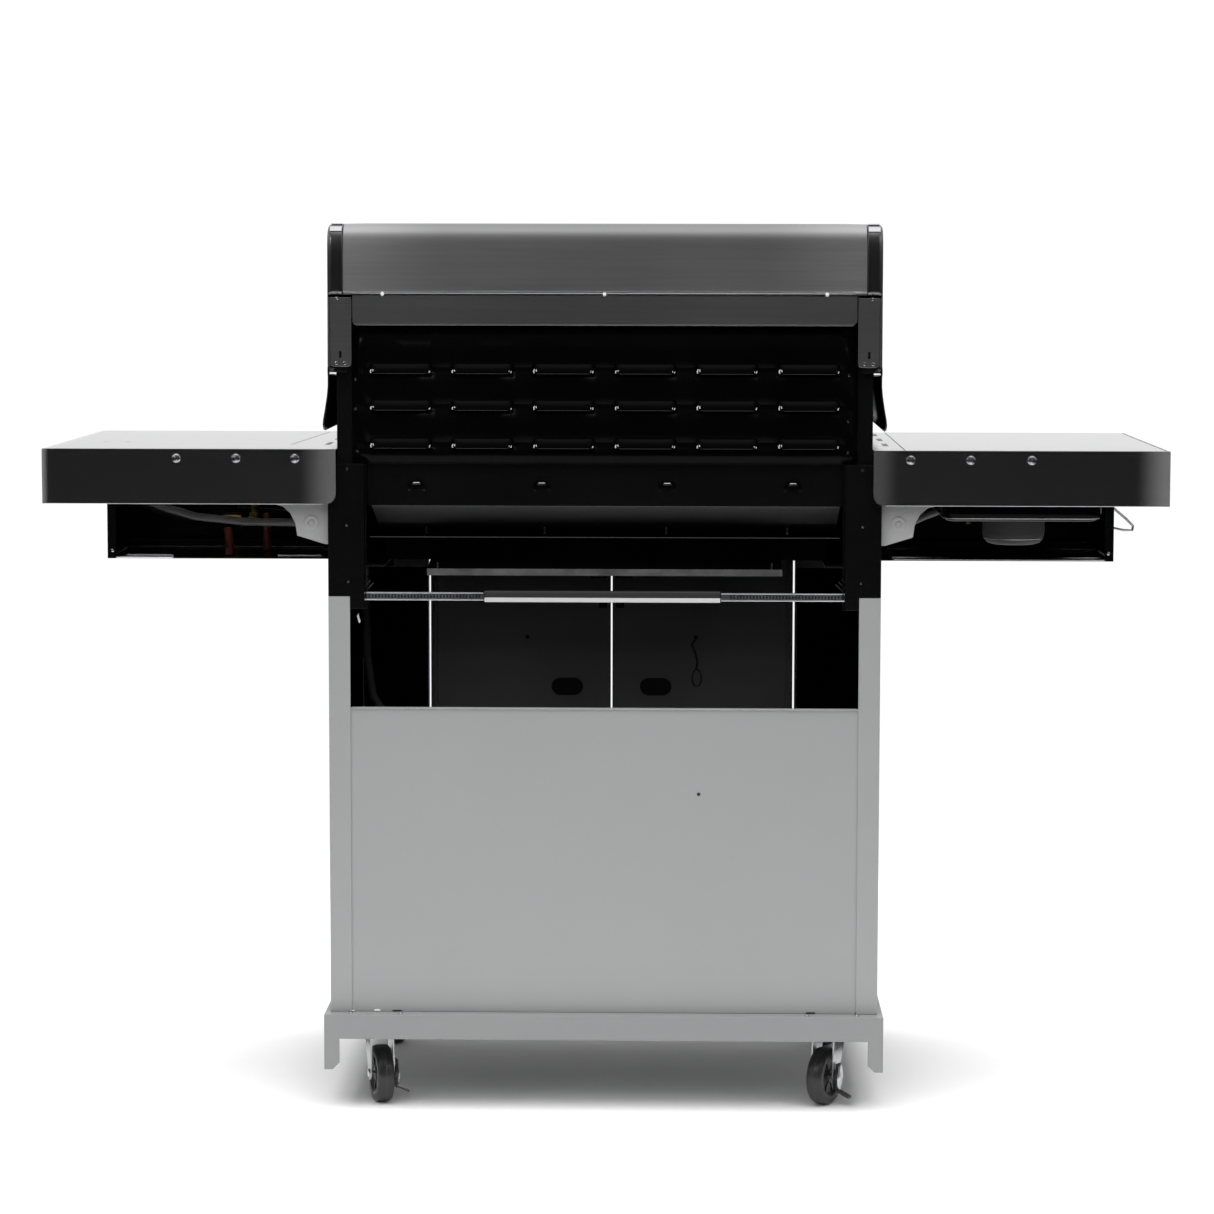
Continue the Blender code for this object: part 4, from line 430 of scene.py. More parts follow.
def add_screw(build, at, toward, radius=0.0035, dome=0.0016, cross=True, washer=0.0):
    """A domed screw head with a cross recess; toward points out of the surface."""
    out = Vector(toward).normalized()
    if washer:
        add_lathe(build, [(0, 0), (washer, 0), (washer, 0.0007), (0, 0.0007)], at, out, 16)
    base = Vector(at) + out * (0.0007 if washer else 0.0)
    rim = [(0, -0.0002), (radius, -0.0002), (radius, dome * 0.35), (radius * 0.8, dome * 0.8)]
    if not cross:
        add_lathe(build, rim + [(0, dome)], base, out, 14)
        return
    add_lathe(
        build, rim + [(radius * 0.42, dome), (radius * 0.25, dome * 0.2), (0, dome * 0.1)], base, out, 14
    )


def refined(name, bevel, paint=None):
    """The CAD node again, with its edges rounded. Stands for that node."""
    source = frame["nodes"][name]
    build = bmesh.new()
    build.from_mesh(source.data)
    bmesh.ops.remove_doubles(build, verts=build.verts, dist=0.00002)
    bmesh.ops.dissolve_limit(build, angle_limit=math.radians(1.0), verts=build.verts, edges=build.edges)
    body = body_of_node[name]
    made = finish_mesh(
        name + "_piece", build, paint or M[slot_of_node[name]], body, bevel=bevel, slot=slot_of_node[name]
    )
    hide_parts(name)


def ray(angle):
    """A unit vector in the XY plane."""
    return Vector((math.cos(angle), math.sin(angle), 0))


def mirrored(side, a, b):
    """The span from a to b on the right, or its mirror image on the left."""
    return (a, b) if side > 0 else (-b, -a)


def sided(side, points):
    """An outline drawn for the right, mirrored for the left."""
    return [(side * a, b) for a, b in points]


for name, cad in frame["nodes"].items():
    cad.data.materials.clear()
    cad.data.materials.append(M[slot_of_node[name]])

# ------------------------------------------------------------------ camera
CAMERA_AT = Vector((-0.1041, 4.8606, 1.1074))
YAW, TILT, ROLL = (math.radians(v) for v in (1.2539, 5.5868, 0.0894))
PIXELS, FOCAL_PX, SENSOR = 1214.0, 3568.9, 36.0
forward = Vector((math.sin(YAW) * math.cos(TILT), -math.cos(YAW) * math.cos(TILT), -math.sin(TILT)))
level = forward.cross(Vector((0, 0, 1))).normalized()
upward = level.cross(forward)
right = level * math.cos(ROLL) + upward * math.sin(ROLL)
upright = upward * math.cos(ROLL) - level * math.sin(ROLL)
lens = bpy.data.cameras.new("camera")
lens.sensor_width = SENSOR
lens.lens = SENSOR * FOCAL_PX / PIXELS
lens.clip_end = 60.0
camera = bpy.data.objects.new("camera", lens)
turned = Matrix((right, upright, -forward)).transposed().to_4x4()
camera.matrix_world = Matrix.Translation(CAMERA_AT) @ turned
bpy.context.scene.collection.objects.link(camera)
bpy.context.scene.camera = camera

# ------------------------------------------------------------------ stage and light
floor_mesh = bmesh.new()
bmesh.ops.create_grid(floor_mesh, x_segments=1, y_segments=1, size=1.0)
for v in floor_mesh.verts:
    v.co.x *= 5.0
    v.co.y = v.co.y * 3.6 - 1.4
    v.co.z = -0.0002
floor_data = bpy.data.meshes.new("floor")
floor_mesh.to_mesh(floor_data)
floor_mesh.free()
floor = bpy.data.objects.new("floor", floor_data)
bpy.context.scene.collection.objects.link(floor)
floor_look = surface(
    "floor_paint", (0.86, 0.86, 0.86), 0.75, grain=40.0, grain_mix=0.01, cloud_mix=0.01, bump=0.0
)
floor_data.materials.append(floor_look)
ft = floor_look.node_tree
reach = node(ft, "ShaderNodeVectorMath", operation="LENGTH")
where_on_floor = node(ft, "ShaderNodeTexCoord")
ft.links.new(where_on_floor.outputs["Object"], reach.inputs[0])
clear = node(ft, "ShaderNodeBsdfTransparent")
blend_out = node(ft, "ShaderNodeMixShader")
ft.links.new(eased(ft, reach.outputs["Value"], 1.1, 2.1), blend_out.inputs[0])
ft.links.new(ft.nodes["Principled BSDF"].outputs[0], blend_out.inputs[1])
ft.links.new(clear.outputs[0], blend_out.inputs[2])
ft.links.new(blend_out.outputs[0], ft.nodes["Material Output"].inputs["Surface"])

world = bpy.data.worlds.new("studio")
bpy.context.scene.world = world
world.use_nodes = True
wt = world.node_tree
back = wt.nodes["Background"]
sky = node(wt, "ShaderNodeTexCoord")
split = node(wt, "ShaderNodeSeparateXYZ")
wt.links.new(sky.outputs["Generated"], split.inputs[0])


def glow(axis, sign, start, end, amount):
    """Light rising smoothly along one direction of the room, from start to end."""
    aimed = maths(wt, "MULTIPLY", split.outputs[axis], sign)
    return eased(wt, aimed, start, end, 0.0, amount)


ROOM_DARK = 0.014
SEEN_WHITE = 1.04
above = glow("Z", 1.0, 0.04, 0.3, 1.0)


def raised(part):
    """The same light, fading out toward the floor line so that it doesn't reach under the base."""
    return maths(wt, "MULTIPLY", part, above)


room = glow("Z", 1.0, 0.62, 0.98, 1.35)
for part in (
    glow("Z", 1.0, 0.1, 0.62, 0.16),
    raised(glow("X", 1.0, 0.55, 0.95, 1.1)),
    raised(glow("X", -1.0, 0.5, 0.92, 0.95)),
    raised(glow("Y", -1.0, 0.15, 0.6, 1.0)),
):
    room = maths(wt, "MAXIMUM", room, part)
seen = node(wt, "ShaderNodeLightPath")
pick = node(wt, "ShaderNodeMix", data_type="FLOAT", in_3=SEEN_WHITE)
wt.links.new(seen.outputs["Is Camera Ray"], pick.inputs[0])
wt.links.new(maths(wt, "MAXIMUM", room, ROOM_DARK), pick.inputs[2])
wt.links.new(pick.outputs[0], back.inputs["Strength"])
back.inputs["Color"].default_value = (1.0, 1.0, 1.0, 1.0)
bpy.context.scene.view_settings.view_transform = "Standard"
bpy.context.scene.view_settings.look = "None"


def soft_light(name, at, aim, size, power):
    """A rectangular light at one point, aimed at another."""
    data = bpy.data.lights.new(name, "AREA")
    data.shape = "RECTANGLE"
    data.size, data.size_y = size
    data.energy = power
    made = bpy.data.objects.new(name, data)
    made.location = at
    made.rotation_euler = (Vector(aim) - Vector(at)).to_track_quat("-Z", "Y").to_euler()
    bpy.context.scene.collection.objects.link(made)
    return made


overhead = soft_light("overhead", (0.0, 0.7, 4.2), (0, 0.2, 0.0), (6.5, 5.5), 360.0)
overhead.visible_glossy = False
fill = soft_light("camera_side_fill", (0.0, 5.0, 3.4), (0, 0.2, 0.5), (4.0, 2.4), 60.0)
fill.visible_glossy = False
low_fill = soft_light("low_fill", (0.0, 4.6, 1.25), (0, -0.2, 0.6), (1.5, 1.0), 9.0)
low_fill.visible_glossy = False
card = soft_light("far_card", (0.0, -5.0, 0.9), (0, 0, 0.86), (9.0, 1.8), 44.0)
card.visible_diffuse = False
card.visible_camera = False
soft_light("glint_left", (2.6, 3.4, 2.9), (0, 0.2, 0.9), (0.7, 0.7), 14.0)
soft_light("glint_right", (-2.6, 3.2, 2.9), (0, 0.2, 0.9), (0.5, 0.5), 6.0)

# ------------------------------------------------------------------ hood
skin_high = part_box("hood_skin")[1]
HOOD_BACK = skin_high.y
LEDGE = 1.06
# the hood's outline from its front foot over the top to the rear ledge, as (y, z)
HOOD_POINTS = (
    (-0.213, 0.887), (-0.2108, 0.925), (-0.2078, 0.98), (-0.203, 1.02), (-0.19, 1.058),
    (-0.165, 1.095), (-0.12, 1.1275), (-0.056, 1.1465), (0.02, 1.1512), (0.11, 1.1513),
    (0.2, 1.1514), (0.244, 1.1513), (0.256, 1.1504), (0.266, 1.146), (0.273, 1.138),
    (0.2765, 1.125), (0.2778, 1.1), (0.278, LEDGE),
)
hood_curve = [(p.y, p.z) for p in smooth_path([(0, a, b) for a, b in HOOD_POINTS], 6)]


def curve_normals(curve):
    """Unit normals of a (y, z) curve, pointing out of the hood."""
    out = []
    for i in range(len(curve)):
        a = Vector(curve[max(0, i - 1)])
        b = Vector(curve[min(len(curve) - 1, i + 1)])
        along = (b - a).normalized()
        out.append(Vector((-along.y, along.x)))
    return out


hood_normals = curve_normals(hood_curve)
SKIN_HALF = skin_high.x
END_OUT = 0.3555
CAP_FOOT = 0.943


def sweep_hood(build, section, curve, normals):
    """section: (x, depth under the curve). Returns the rows of vertices."""
    rows = []
    for (y, z), n in zip(curve, normals):
        rows.append(add_ring(build, [(x, y - n.x * d, z - n.y * d) for x, d in section]))
    for one, two in zip(rows, rows[1:]):
        bridge(build, one, two, closed=False)
    return rows


def solid_sheet(name, build, thick, paint, body, slot, offset=-1.0):
    """A surface made into sheet metal of the given thickness."""
    made = finish_mesh(name, build, paint, body, slot=slot)
    shell = made.modifiers.new("wall", "SOLIDIFY")
    shell.thickness = thick
    shell.offset = offset
    return made


build = bmesh.new()
CUTS = 24
section = [(-SKIN_HALF, 0.0018), (-SKIN_HALF + 0.0006, 0.0005)]
section += [(-SKIN_HALF + 2 * SKIN_HALF * k / CUTS, 0.0) for k in range(1, CUTS)]
section += [(SKIN_HALF - 0.0006, 0.0005), (SKIN_HALF, 0.0018)]
sweep_hood(build, section, hood_curve, hood_normals)
skin = solid_sheet("hood_skin_piece", build, 0.0011, M["stainless_hood"], "hood", "stainless_hood")
# The skin's rear-facing faces take the lighter copy with its painted light and shade.
skin.data.materials.append(HOOD_REAR_PAINTED_LIGHT)
for face in skin.data.polygons:
    if face.center.y > 0.19:
        face.material_index = 1
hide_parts("hood_skin")

build = bmesh.new()
add_prism(
    build,
    [
        (HOOD_BACK - 0.014, LEDGE), (HOOD_BACK, LEDGE), (HOOD_BACK + 0.0016, LEDGE + 0.0008),
        (HOOD_BACK, LEDGE + 0.0016), (HOOD_BACK - 0.014, LEDGE + 0.0016)
    ],
    "X", -SKIN_HALF, SKIN_HALF
)
dressed("hood_skin_lip", build, "stainless_hood", "hood")

for side, name in ((-1, "hood_end_left"), (1, "hood_end_right")):
    build = bmesh.new()
    inner = SKIN_HALF + 0.0006
    round_r = 0.0055
    section = [(inner, 0.006), (inner, 0.002), (inner + 0.001, 0.0012)]
    for step in range(7):
        angle = math.radians(15.0 * step)
        section.append(
            (END_OUT - round_r + round_r * math.sin(angle), 0.0012 + round_r - round_r * math.cos(angle))
        )
    rows = sweep_hood(build, sided(side, section), hood_curve, hood_normals)
    front_foot = build.verts.new((side * END_OUT, hood_curve[0][0] + 0.004, CAP_FOOT))
    rear_foot = build.verts.new((side * END_OUT, HOOD_BACK - 0.0045, CAP_FOOT))
    edge = [row[-1] for row in rows if row[-1].co.z > CAP_FOOT + 0.0005]
    build.faces.new([front_foot] + edge + [rear_foot])
    flare = (
        (0.0, CAP_FOOT), (0.0012, 0.93), (0.004, 0.912), (0.0062, 0.9), (0.0068, 0.893), (0.006, 0.888),
        (0.0042, 0.8862), (0.0022, 0.888)
    )
    before = [front_foot, rear_foot]
    for x, z in flare[1:]:
        now = add_ring(
            build, [(side * (END_OUT + x), y, z) for y in (hood_curve[0][0] + 0.0035, HOOD_BACK - 0.0045)]
        )
        build.faces.new((before[0], before[1], now[1], now[0]))
        before = now
    end = solid_sheet(name + "_piece", build, 0.0012, HOOD_CAP_PAINTED_SHADE, "hood", "stainless_hood", offset=0.0)
    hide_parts(name)
    # rear hinge flange with its web, screws, a black mark painting the shade in its notch, and hinge block
    build = bmesh.new()
    x_in, x_out = 0.3247, 0.352
    low_z, high_z = 0.968, 1.0565
    r = 0.004
    outline = [
        (x_out, high_z), (x_in, high_z), (x_in, low_z + r), (x_in + r * 0.3, low_z + r * 0.3),
        (x_in + r, low_z), (x_out - r, low_z), (x_out - r * 0.3, low_z + r * 0.3), (x_out, low_z + r)
    ]
    add_prism(build, sided(side, outline), "Y", HOOD_BACK, HOOD_BACK + 0.0018)
    dressed(name + "_flange", build, "stainless_hood", "hood", bevel=0.0005)
    build = bmesh.new()
    add_box(
        build, *mirrored(side, END_OUT - 0.003, END_OUT - 0.001), HOOD_BACK - 0.006, HOOD_BACK + 0.0014,
        low_z, high_z
    )
    dressed(name + "_web", build, "stainless_hood", "hood", bevel=0.0003)
    build = bmesh.new()
    for x in (0.3332, 0.344):
        add_screw(build, (side * x, HOOD_BACK + 0.0018, 0.9725), TO_REAR, 0.0026)
    add_screw(build, (side * 0.3425, HOOD_BACK + 0.0018, 1.0555), TO_REAR, 0.0024)
    finish_mesh(name + "_screws", build, SCREW, "hood")
    build = bmesh.new()
    # A small black plate on the flange paints the shade in its notch; the second box is the hinge block.
    add_box(build, *mirrored(side, 0.3375, 0.3405), HOOD_BACK + 0.0016, HOOD_BACK + 0.0022, 0.979, 0.988)
    add_box(build, *mirrored(side, 0.33, 0.347), HOOD_BACK - 0.01, HOOD_BACK + 0.001, 0.961, 0.9675)
    dressed(name + "_hinge_block_and_notch_shade", build, "black_enamel", bevel=0.0004)
    build = bmesh.new()
    pivot = Vector(joints["hood_hinge"]["pos_m"])
    p0, p1 = mirrored(side, 0.3456, END_OUT - 0.001)
    add_tube(build, [(p0, pivot.y, pivot.z), (p1, pivot.y, pivot.z)], 0.0058, 20)
    add_lathe(
        build, [(0, 0), (0.008, 0), (0.008, 0.001), (0.006, 0.002), (0, 0.0022)],
        (side * (END_OUT - 0.0004), pivot.y, pivot.z), (side, 0, 0), 20
    )
    finish_mesh(name + "_pin", build, SCREW, "hood")

baffle_low, baffle_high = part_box("hood_rear_baffle")
build = bmesh.new()
r = 0.005
outline = [
    (-baffle_high.x, baffle_high.z),
    (-baffle_high.x, baffle_low.z + r),
    (-baffle_high.x + r, baffle_low.z),
]
for step in range(5):
    angle = math.radians(270 + 90 * step / 4)
    outline.append((baffle_high.x - r + r * math.cos(angle), baffle_low.z + r + r * math.sin(angle)))
outline.append((baffle_high.x, baffle_high.z))
add_prism(build, outline, "Y", baffle_high.y - 0.0014, baffle_high.y - 0.0002)
add_box(
    build, -baffle_high.x, baffle_high.x, baffle_low.y, baffle_high.y - 0.0002, baffle_high.z - 0.0014,
    baffle_high.z
)
baffle = dressed("hood_rear_baffle_piece", build, "stainless_hood", "hood", bevel=0.0004)
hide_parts("hood_rear_baffle")
build = bmesh.new()
hem_z = baffle_low.z + 0.0012
add_tube(
    build,
    [
        (-baffle_high.x + r, baffle_high.y - 0.0012, hem_z),
        (baffle_high.x - r, baffle_high.y - 0.0012, hem_z)
    ],
    0.0011, 10
)
finish_mesh("hood_baffle_hem", build, SCREW, "hood")
# The three ledge screws are drawn in the pale glint white, a painted highlight on their heads.
build = bmesh.new()
for x in (-0.2847, 0.0, 0.2847):
    add_screw(
        build, (x, baffle_high.y - 0.0002, baffle_high.z + 0.0012), (0, 1, 0.35), 0.0027, 0.0018,
        cross=False
    )
finish_mesh("hood_ledge_screws", build, GLINT_WHITE, "hood")

# handle
hb_low, hb_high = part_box("hood_handle")
bar_y = hb_low.y + 0.0125
bar_z = 0.915
bar_half = hb_high.x
build = bmesh.new()
profile = [(0, 0), (0.009, 0), (0.0115, 0.0012), (0.0125, 0.004)]
length = 2 * bar_half
profile += [(0.0125, length - 0.004), (0.0115, length - 0.0012), (0.009, length), (0, length)]
add_lathe(build, profile, (-bar_half, bar_y, bar_z), (1, 0, 0), 32)
for side in (-1, 1):
    x = side * (bar_half - 0.018)
    skin_y = -0.2113
    foot = [
        (skin_y - 0.0006, bar_z - 0.0185), (skin_y - 0.0006, bar_z + 0.0185),
        (bar_y + 0.006, bar_z + 0.0095), (bar_y, bar_z + 0.0095), (bar_y, bar_z - 0.0095),
        (bar_y + 0.006, bar_z - 0.0095)
    ]
    add_prism(build, foot, "X", x - 0.0135, x + 0.0135)
handle = dressed("hood_handle_piece", build, "chrome", "hood", bevel=0.0015)
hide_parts("hood_handle")

# bright steel on the folds: painted highlight bands on the cap tops, and the ledge's two thin lines
build = bmesh.new()
for side in (-1, 1):
    for low_y, high_y in ((0.247, 0.2585), (0.264, 0.2715)):
        pieces = [(p, n) for p, n in zip(hood_curve, hood_normals) if low_y < p[0] < high_y and p[1] > 1.1]
        if len(pieces) < 2:
            continue
        sweep_hood(
            build, [(side * 0.3375, -0.0004), (side * 0.3525, -0.0004)], [p for p, n in pieces],
            [n for p, n in pieces]
        )
for z, reach in ((1.0622, 0.32), (1.058, 0.318)):
    add_tube(build, [(-reach, HOOD_BACK + 0.0012, z), (reach, HOOD_BACK + 0.0012, z)], 0.0005, 8)
finish_mesh("hood_cap_highlights_and_ledge_lines", build, SCREW, "hood")

# thermometer: bezel, dial with ticks and needle
low = Vector((0.0, -0.213, 0.887))
high = Vector((0.0, -0.206, 1.005))
foot = low.lerp(high, 0.72)
along = (high - low).normalized()
outward = Vector((0.0, -along.z, along.y))
build = bmesh.new()
add_lathe(
    build,
    [
        (0, 0.0006), (0.033, 0.0006), (0.0352, 0.0014), (0.036, 0.0035), (0.0358, 0.0085), (0.0345, 0.0112),
        (0.0325, 0.0124), (0.0312, 0.0116), (0.0308, 0.0095)
    ],
    foot,
    outward,
    48,
)
add_tube(build, [foot + outward * 0.001, foot - outward * 0.017], 0.0042, 16)
gauge = dressed("thermometer_piece", build, "chrome", "hood")
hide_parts("thermometer")
build = bmesh.new()
add_lathe(build, [(0, 0.0088), (0.0309, 0.0088), (0.0309, 0.0098), (0, 0.0098)], foot, outward, 48)
finish_mesh("thermometer_dial", build, DIAL, "hood")
build = bmesh.new()
spin = Vector((0, 0, 1)).rotation_difference(outward).to_matrix()
for k in range(25):
    angle = math.radians(225 - 270 * k / 24)
    long_tick = k % 4 == 0
    r0, r1 = (0.0225 if long_tick else 0.025), 0.028
    d = ray(angle)
    w = Vector((-d.y, d.x, 0)) * (0.00045 if long_tick else 0.0003)
    tick = [d * r0 - w, d * r1 - w, d * r1 + w, d * r0 + w]
    build.faces.new(add_ring(build, [spin @ (c + Vector((0, 0, 0.01))) + foot for c in tick]))
dressed("thermometer_ticks", build, "knob_dark", "hood")
build = bmesh.new()
d = ray(math.radians(222))
w = Vector((-d.y, d.x, 0))
needle = [d * -0.006 - w * 0.0009, d * 0.021 - w * 0.0002, d * 0.021 + w * 0.0002, d * -0.006 + w * 0.0009]
build.faces.new(add_ring(build, [spin @ (c + Vector((0, 0, 0.0103))) + foot for c in needle]))
add_lathe(build, [(0, 0.01), (0.0028, 0.01), (0.0024, 0.0112), (0, 0.0114)], foot, outward, 20)
finish_mesh("thermometer_needle", build, WIRE_RED, "hood")

# hood liner seen when the hood is open
build = bmesh.new()
inner_curve = [(y - n.x * 0.004, z - n.y * 0.004) for (y, z), n in zip(hood_curve, hood_normals)]
half = SKIN_HALF - 0.002
rows = []
for y, z in inner_curve[2:-1]:
    rows.append(add_ring(build, [(-half, y, z), (half, y, z)]))
for one, two in zip(rows, rows[1:]):
    build.faces.new((one[0], one[1], two[1], two[0]))
solid_sheet("hood_liner", build, 0.0008, HOOD_DARK, "hood", "stainless_hood")

# ------------------------------------------------------------------ firebox, louvred back
back_low, back_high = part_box("louvred_back")
LOUVRE_X = [(c - 2.5) * 0.105 for c in range(6)]
LOUVRE_Z = (0.863, 0.912, 0.959)
LOUVRE_HALF, LOUVRE_TALL, LOUVRE_OUT = 0.04, 0.0145, 0.0078
panel_y = back_low.y + 0.0013
build = bmesh.new()
xs = [back_low.x]
for x in LOUVRE_X:
    xs += [x - LOUVRE_HALF + 0.002, x + LOUVRE_HALF - 0.002]
xs.append(back_high.x)
zs = [back_low.z]
for z in LOUVRE_Z:
    zs += [z + 0.0006, z + 0.009]
zs.append(back_high.z)
grid = {(i, k): build.verts.new((x, panel_y, z)) for i, x in enumerate(xs) for k, z in enumerate(zs)}
for i in range(len(xs) - 1):
    for k in range(len(zs) - 1):
        if i % 2 == 1 and k % 2 == 1:
            continue
        build.faces.new((grid[i, k], grid[i + 1, k], grid[i + 1, k + 1], grid[i, k + 1]))
ACROSS, UPWARD = 20, 7
for x in LOUVRE_X:
    for z in LOUVRE_Z:
        rows = []
        for k in range(UPWARD + 1):
            v = k / UPWARD
            rise = math.cos(v * math.pi / 2) ** 0.8 if k < UPWARD else 0.0
            row = []
            for i in range(ACROSS + 1):
                u = -1 + 2 * i / ACROSS
                ends = max(0.0, 1 - abs(u) ** 9) ** 0.5
                row.append(
                    build.verts.new(
                        (
                            x + u * LOUVRE_HALF, panel_y + LOUVRE_OUT * rise * ends,
                            z + v * LOUVRE_TALL * (0.75 + 0.25 * ends)
                        )
                    )
                )
            rows.append(row)
        for one, two in zip(rows, rows[1:]):
            bridge(build, one, two, closed=False)
louvres = solid_sheet("louvred_back_piece", build, 0.001, LOUVRE, "frame", "black_enamel", offset=-1.0)
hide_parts("louvred_back")
# Short pale tubes at both ends of each louvre paint its glints; the black hems run along the lips.
build = bmesh.new()
hems = bmesh.new()
jitter = random.Random(5)
for x in LOUVRE_X:
    for z in LOUVRE_Z:
        lifted = panel_y + 0.0052
        reach = 0.003 + 0.0022 * jitter.random()
        add_tube(
            build,
            [
                (x + 0.0378, lifted, z + 0.001), (x + 0.0384, lifted, z + 0.001 + reach * 0.5),
                (x + 0.0372, lifted - 0.0008, z + 0.001 + reach)
            ],
            0.0008, 8
        )
        add_tube(
            build,
            [
                (x + 0.035, lifted + 0.0014, z + 0.003),
                (x + 0.0352, lifted + 0.001, z + 0.003 + reach * 0.6)
            ],
            0.0006, 8
        )
        add_tube(
            build, [(x - 0.0372, lifted, z + 0.0012), (x - 0.038, lifted, z + 0.0012 + reach * 0.6)],
            0.0007, 8
        )
        if jitter.random() < 0.6:
            add_tube(
                build, [(x - 0.035, lifted + 0.0014, z + 0.002), (x - 0.0352, lifted + 0.001, z + 0.004)],
                0.0004, 8
            )
        add_tube(
            hems,
            [(x - 0.033, panel_y + LOUVRE_OUT, z + 0.0003), (x + 0.033, panel_y + LOUVRE_OUT, z + 0.0003)],
            0.0004, 8
        )
finish_mesh("louvre_painted_glints", build, GLINT_WHITE, "frame")
dressed("louvre_hems", hems, "black_enamel")
refined("firebox", 0.0004)
TROUGH_BACK = 0.262
build = bmesh.new()
for x, z in (
    (0.3255, 0.9515), (0.3255, 0.9135), (0.3235, 0.8585), (-0.3185, 0.9575), (-0.3175, 0.8985),
    (-0.3175, 0.8585)
):
    add_screw(
        build, (x * 0.985, back_high.y - LOUVRE_OUT - 0.0001, z), TO_REAR, 0.0017, 0.0009, cross=False
    )
finish_mesh("louvred_back_screws", build, SCREW, "frame")

burner_x = [sum(corner.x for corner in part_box(f"burner_{k}")) / 2 for k in (1, 2, 3, 4)]
build = bmesh.new()
glint = bmesh.new()
for x in burner_x:
    arch = []
    for step in range(9):
        angle = math.radians(180 - 180 * step / 8)
        arch.append((x + 0.0115 * math.cos(angle), 0.8155 + 0.006 * math.sin(angle)))
    outer = [(x - 0.0115, 0.812)] + arch + [(x + 0.0115, 0.812)]
    inner = [(x + (a - x) * 0.72, 0.813 + (b - 0.813) * 0.62) for a, b in outer]
    crest = [(x + (a - x) * 0.86, 0.8125 + (b - 0.8125) * 0.82) for a, b in outer]
    front_o = add_ring(build, [(a, TROUGH_BACK + 0.0004, b) for a, b in outer])
    crest = add_ring(build, [(a, TROUGH_BACK + 0.0022, b) for a, b in crest])
    front_i = add_ring(build, [(a, TROUGH_BACK + 0.0005, b) for a, b in inner])
    bridge(build, front_o, crest)
    bridge(build, crest, front_i)
    for dx in (-0.0095, 0.0095):
        add_screw(glint, (x + dx, TROUGH_BACK, 0.8085), TO_REAR, 0.0012, 0.0008, cross=False)
    # A short bright steel tube across the top of each slot paints its glint.
    add_tube(
        glint, [(x - 0.004, TROUGH_BACK + 0.003, 0.8185), (x + 0.004, TROUGH_BACK + 0.003, 0.8185)], 0.0007,
        8
    )
finish_mesh("burner_slot_rims", build, LOUVRE, "frame", slot="black_enamel")
finish_mesh("burner_slot_rivets_and_glints", glint, SCREW, "frame")

# paler sloping underside and its hanging screws
build = bmesh.new()
slope = [Vector((0, 0.2622, 0.7885)), Vector((0, 0.14, 0.7507))]
n = Vector((0, (slope[0].z - slope[1].z), -(slope[0].y - slope[1].y))).normalized()
outline = [
    (p.y, p.z)
    for p in (slope[0] + n * 0.0001, slope[1] + n * 0.0001, slope[1] + n * 0.0008, slope[0] + n * 0.0008)
]
add_prism(build, outline, "X", -0.3035, 0.301)
finish_mesh("firebox_slope_skin", build, SLOPE, "frame", slot="black_enamel")
build = bmesh.new()
for x in (0.2385, 0.0815, -0.0795, -0.2395):
    add_tube(build, [(x, 0.15, 0.753), (x, 0.15, 0.744)], 0.0018, 10)
    add_screw(build, (x, 0.15, 0.7445), (0, 0, -1), 0.004, 0.0022, cross=False)
finish_mesh("firebox_slope_screws", build, SCREW, "frame")

# ------------------------------------------------------------------ sheet metal with rounded edges
for name in (
    "side_panel_left",
    "side_panel_right",
    "rear_panel",
    "upper_support_left",
    "upper_support_right",
    "control_panel",
    "side_burner_lid",
):
    refined(name, 0.00055)
refined("base_tray", 0.00055, BASE_GREY_SHADED)
refined("grease_tray", 0.0004, LOUVRE)
for name in ("cooking_grate_left", "cooking_grate_right", "side_burner_grate", "side_burner"):
    refined(name, 0.0012)
for name in ("gas_manifold", "gas_regulator", "tool_hook", "warming_rack", "ignition_button"):
    refined(name, 0.0004)
refined("gas_hose", 0.0003)
# The burners take the darkened steel, painted shade.
for name in ("burner_1", "burner_2", "burner_3", "burner_4"):
    refined(name, 0.0003, BURNER_SHADE_STEEL)


def plate(build, outline, holes, toward, at, thick):
    """A flat plate with holes, its outer face at the given place along toward.
    Points are (x, z) for a Y plate and (x, y) for a Z plate."""
    lift = {"Y": lambda a, b, h: (a, h, b), "Z": lambda a, b, h: (a, b, h)}[toward]
    rims = []
    for height in (at, at - thick):
        edges = []
        loops = []
        for loop in [outline] + holes:
            ring = add_ring(build, [lift(a, b, height) for a, b in loop])
            edges += [build.edges.new((ring[i], ring[(i + 1) % len(ring)])) for i in range(len(ring))]
            loops.append(ring)
        bmesh.ops.triangle_fill(build, use_beauty=True, edges=edges)
        rims.append(loops)
    for top_ring, low_ring in zip(*rims):
        bridge(build, top_ring, low_ring)


def circle(x, z, radius, count=16):
    """Points around a circle."""
    angles = [TURN * k / count for k in range(count)]
    return [(x + radius * math.cos(a), z + radius * math.sin(a)) for a in angles]


def corners(x0, x1, z0, z1):
    """A plain rectangle, from its lower left corner."""
    return [(x0, z0), (x1, z0), (x1, z1), (x0, z1)]


def stadium(x0, x1, z0, z1, count=8):
    """A slot with round ends."""
    radius = (z1 - z0) / 2
    mid = (z0 + z1) / 2
    points = []
    for centre, start in ((x1 - radius, -90), (x0 + radius, 90)):
        for k in range(count + 1):
            angle = math.radians(start + 180 * k / count)
            points.append((centre + radius * math.cos(angle), mid + radius * math.sin(angle)))
    return points


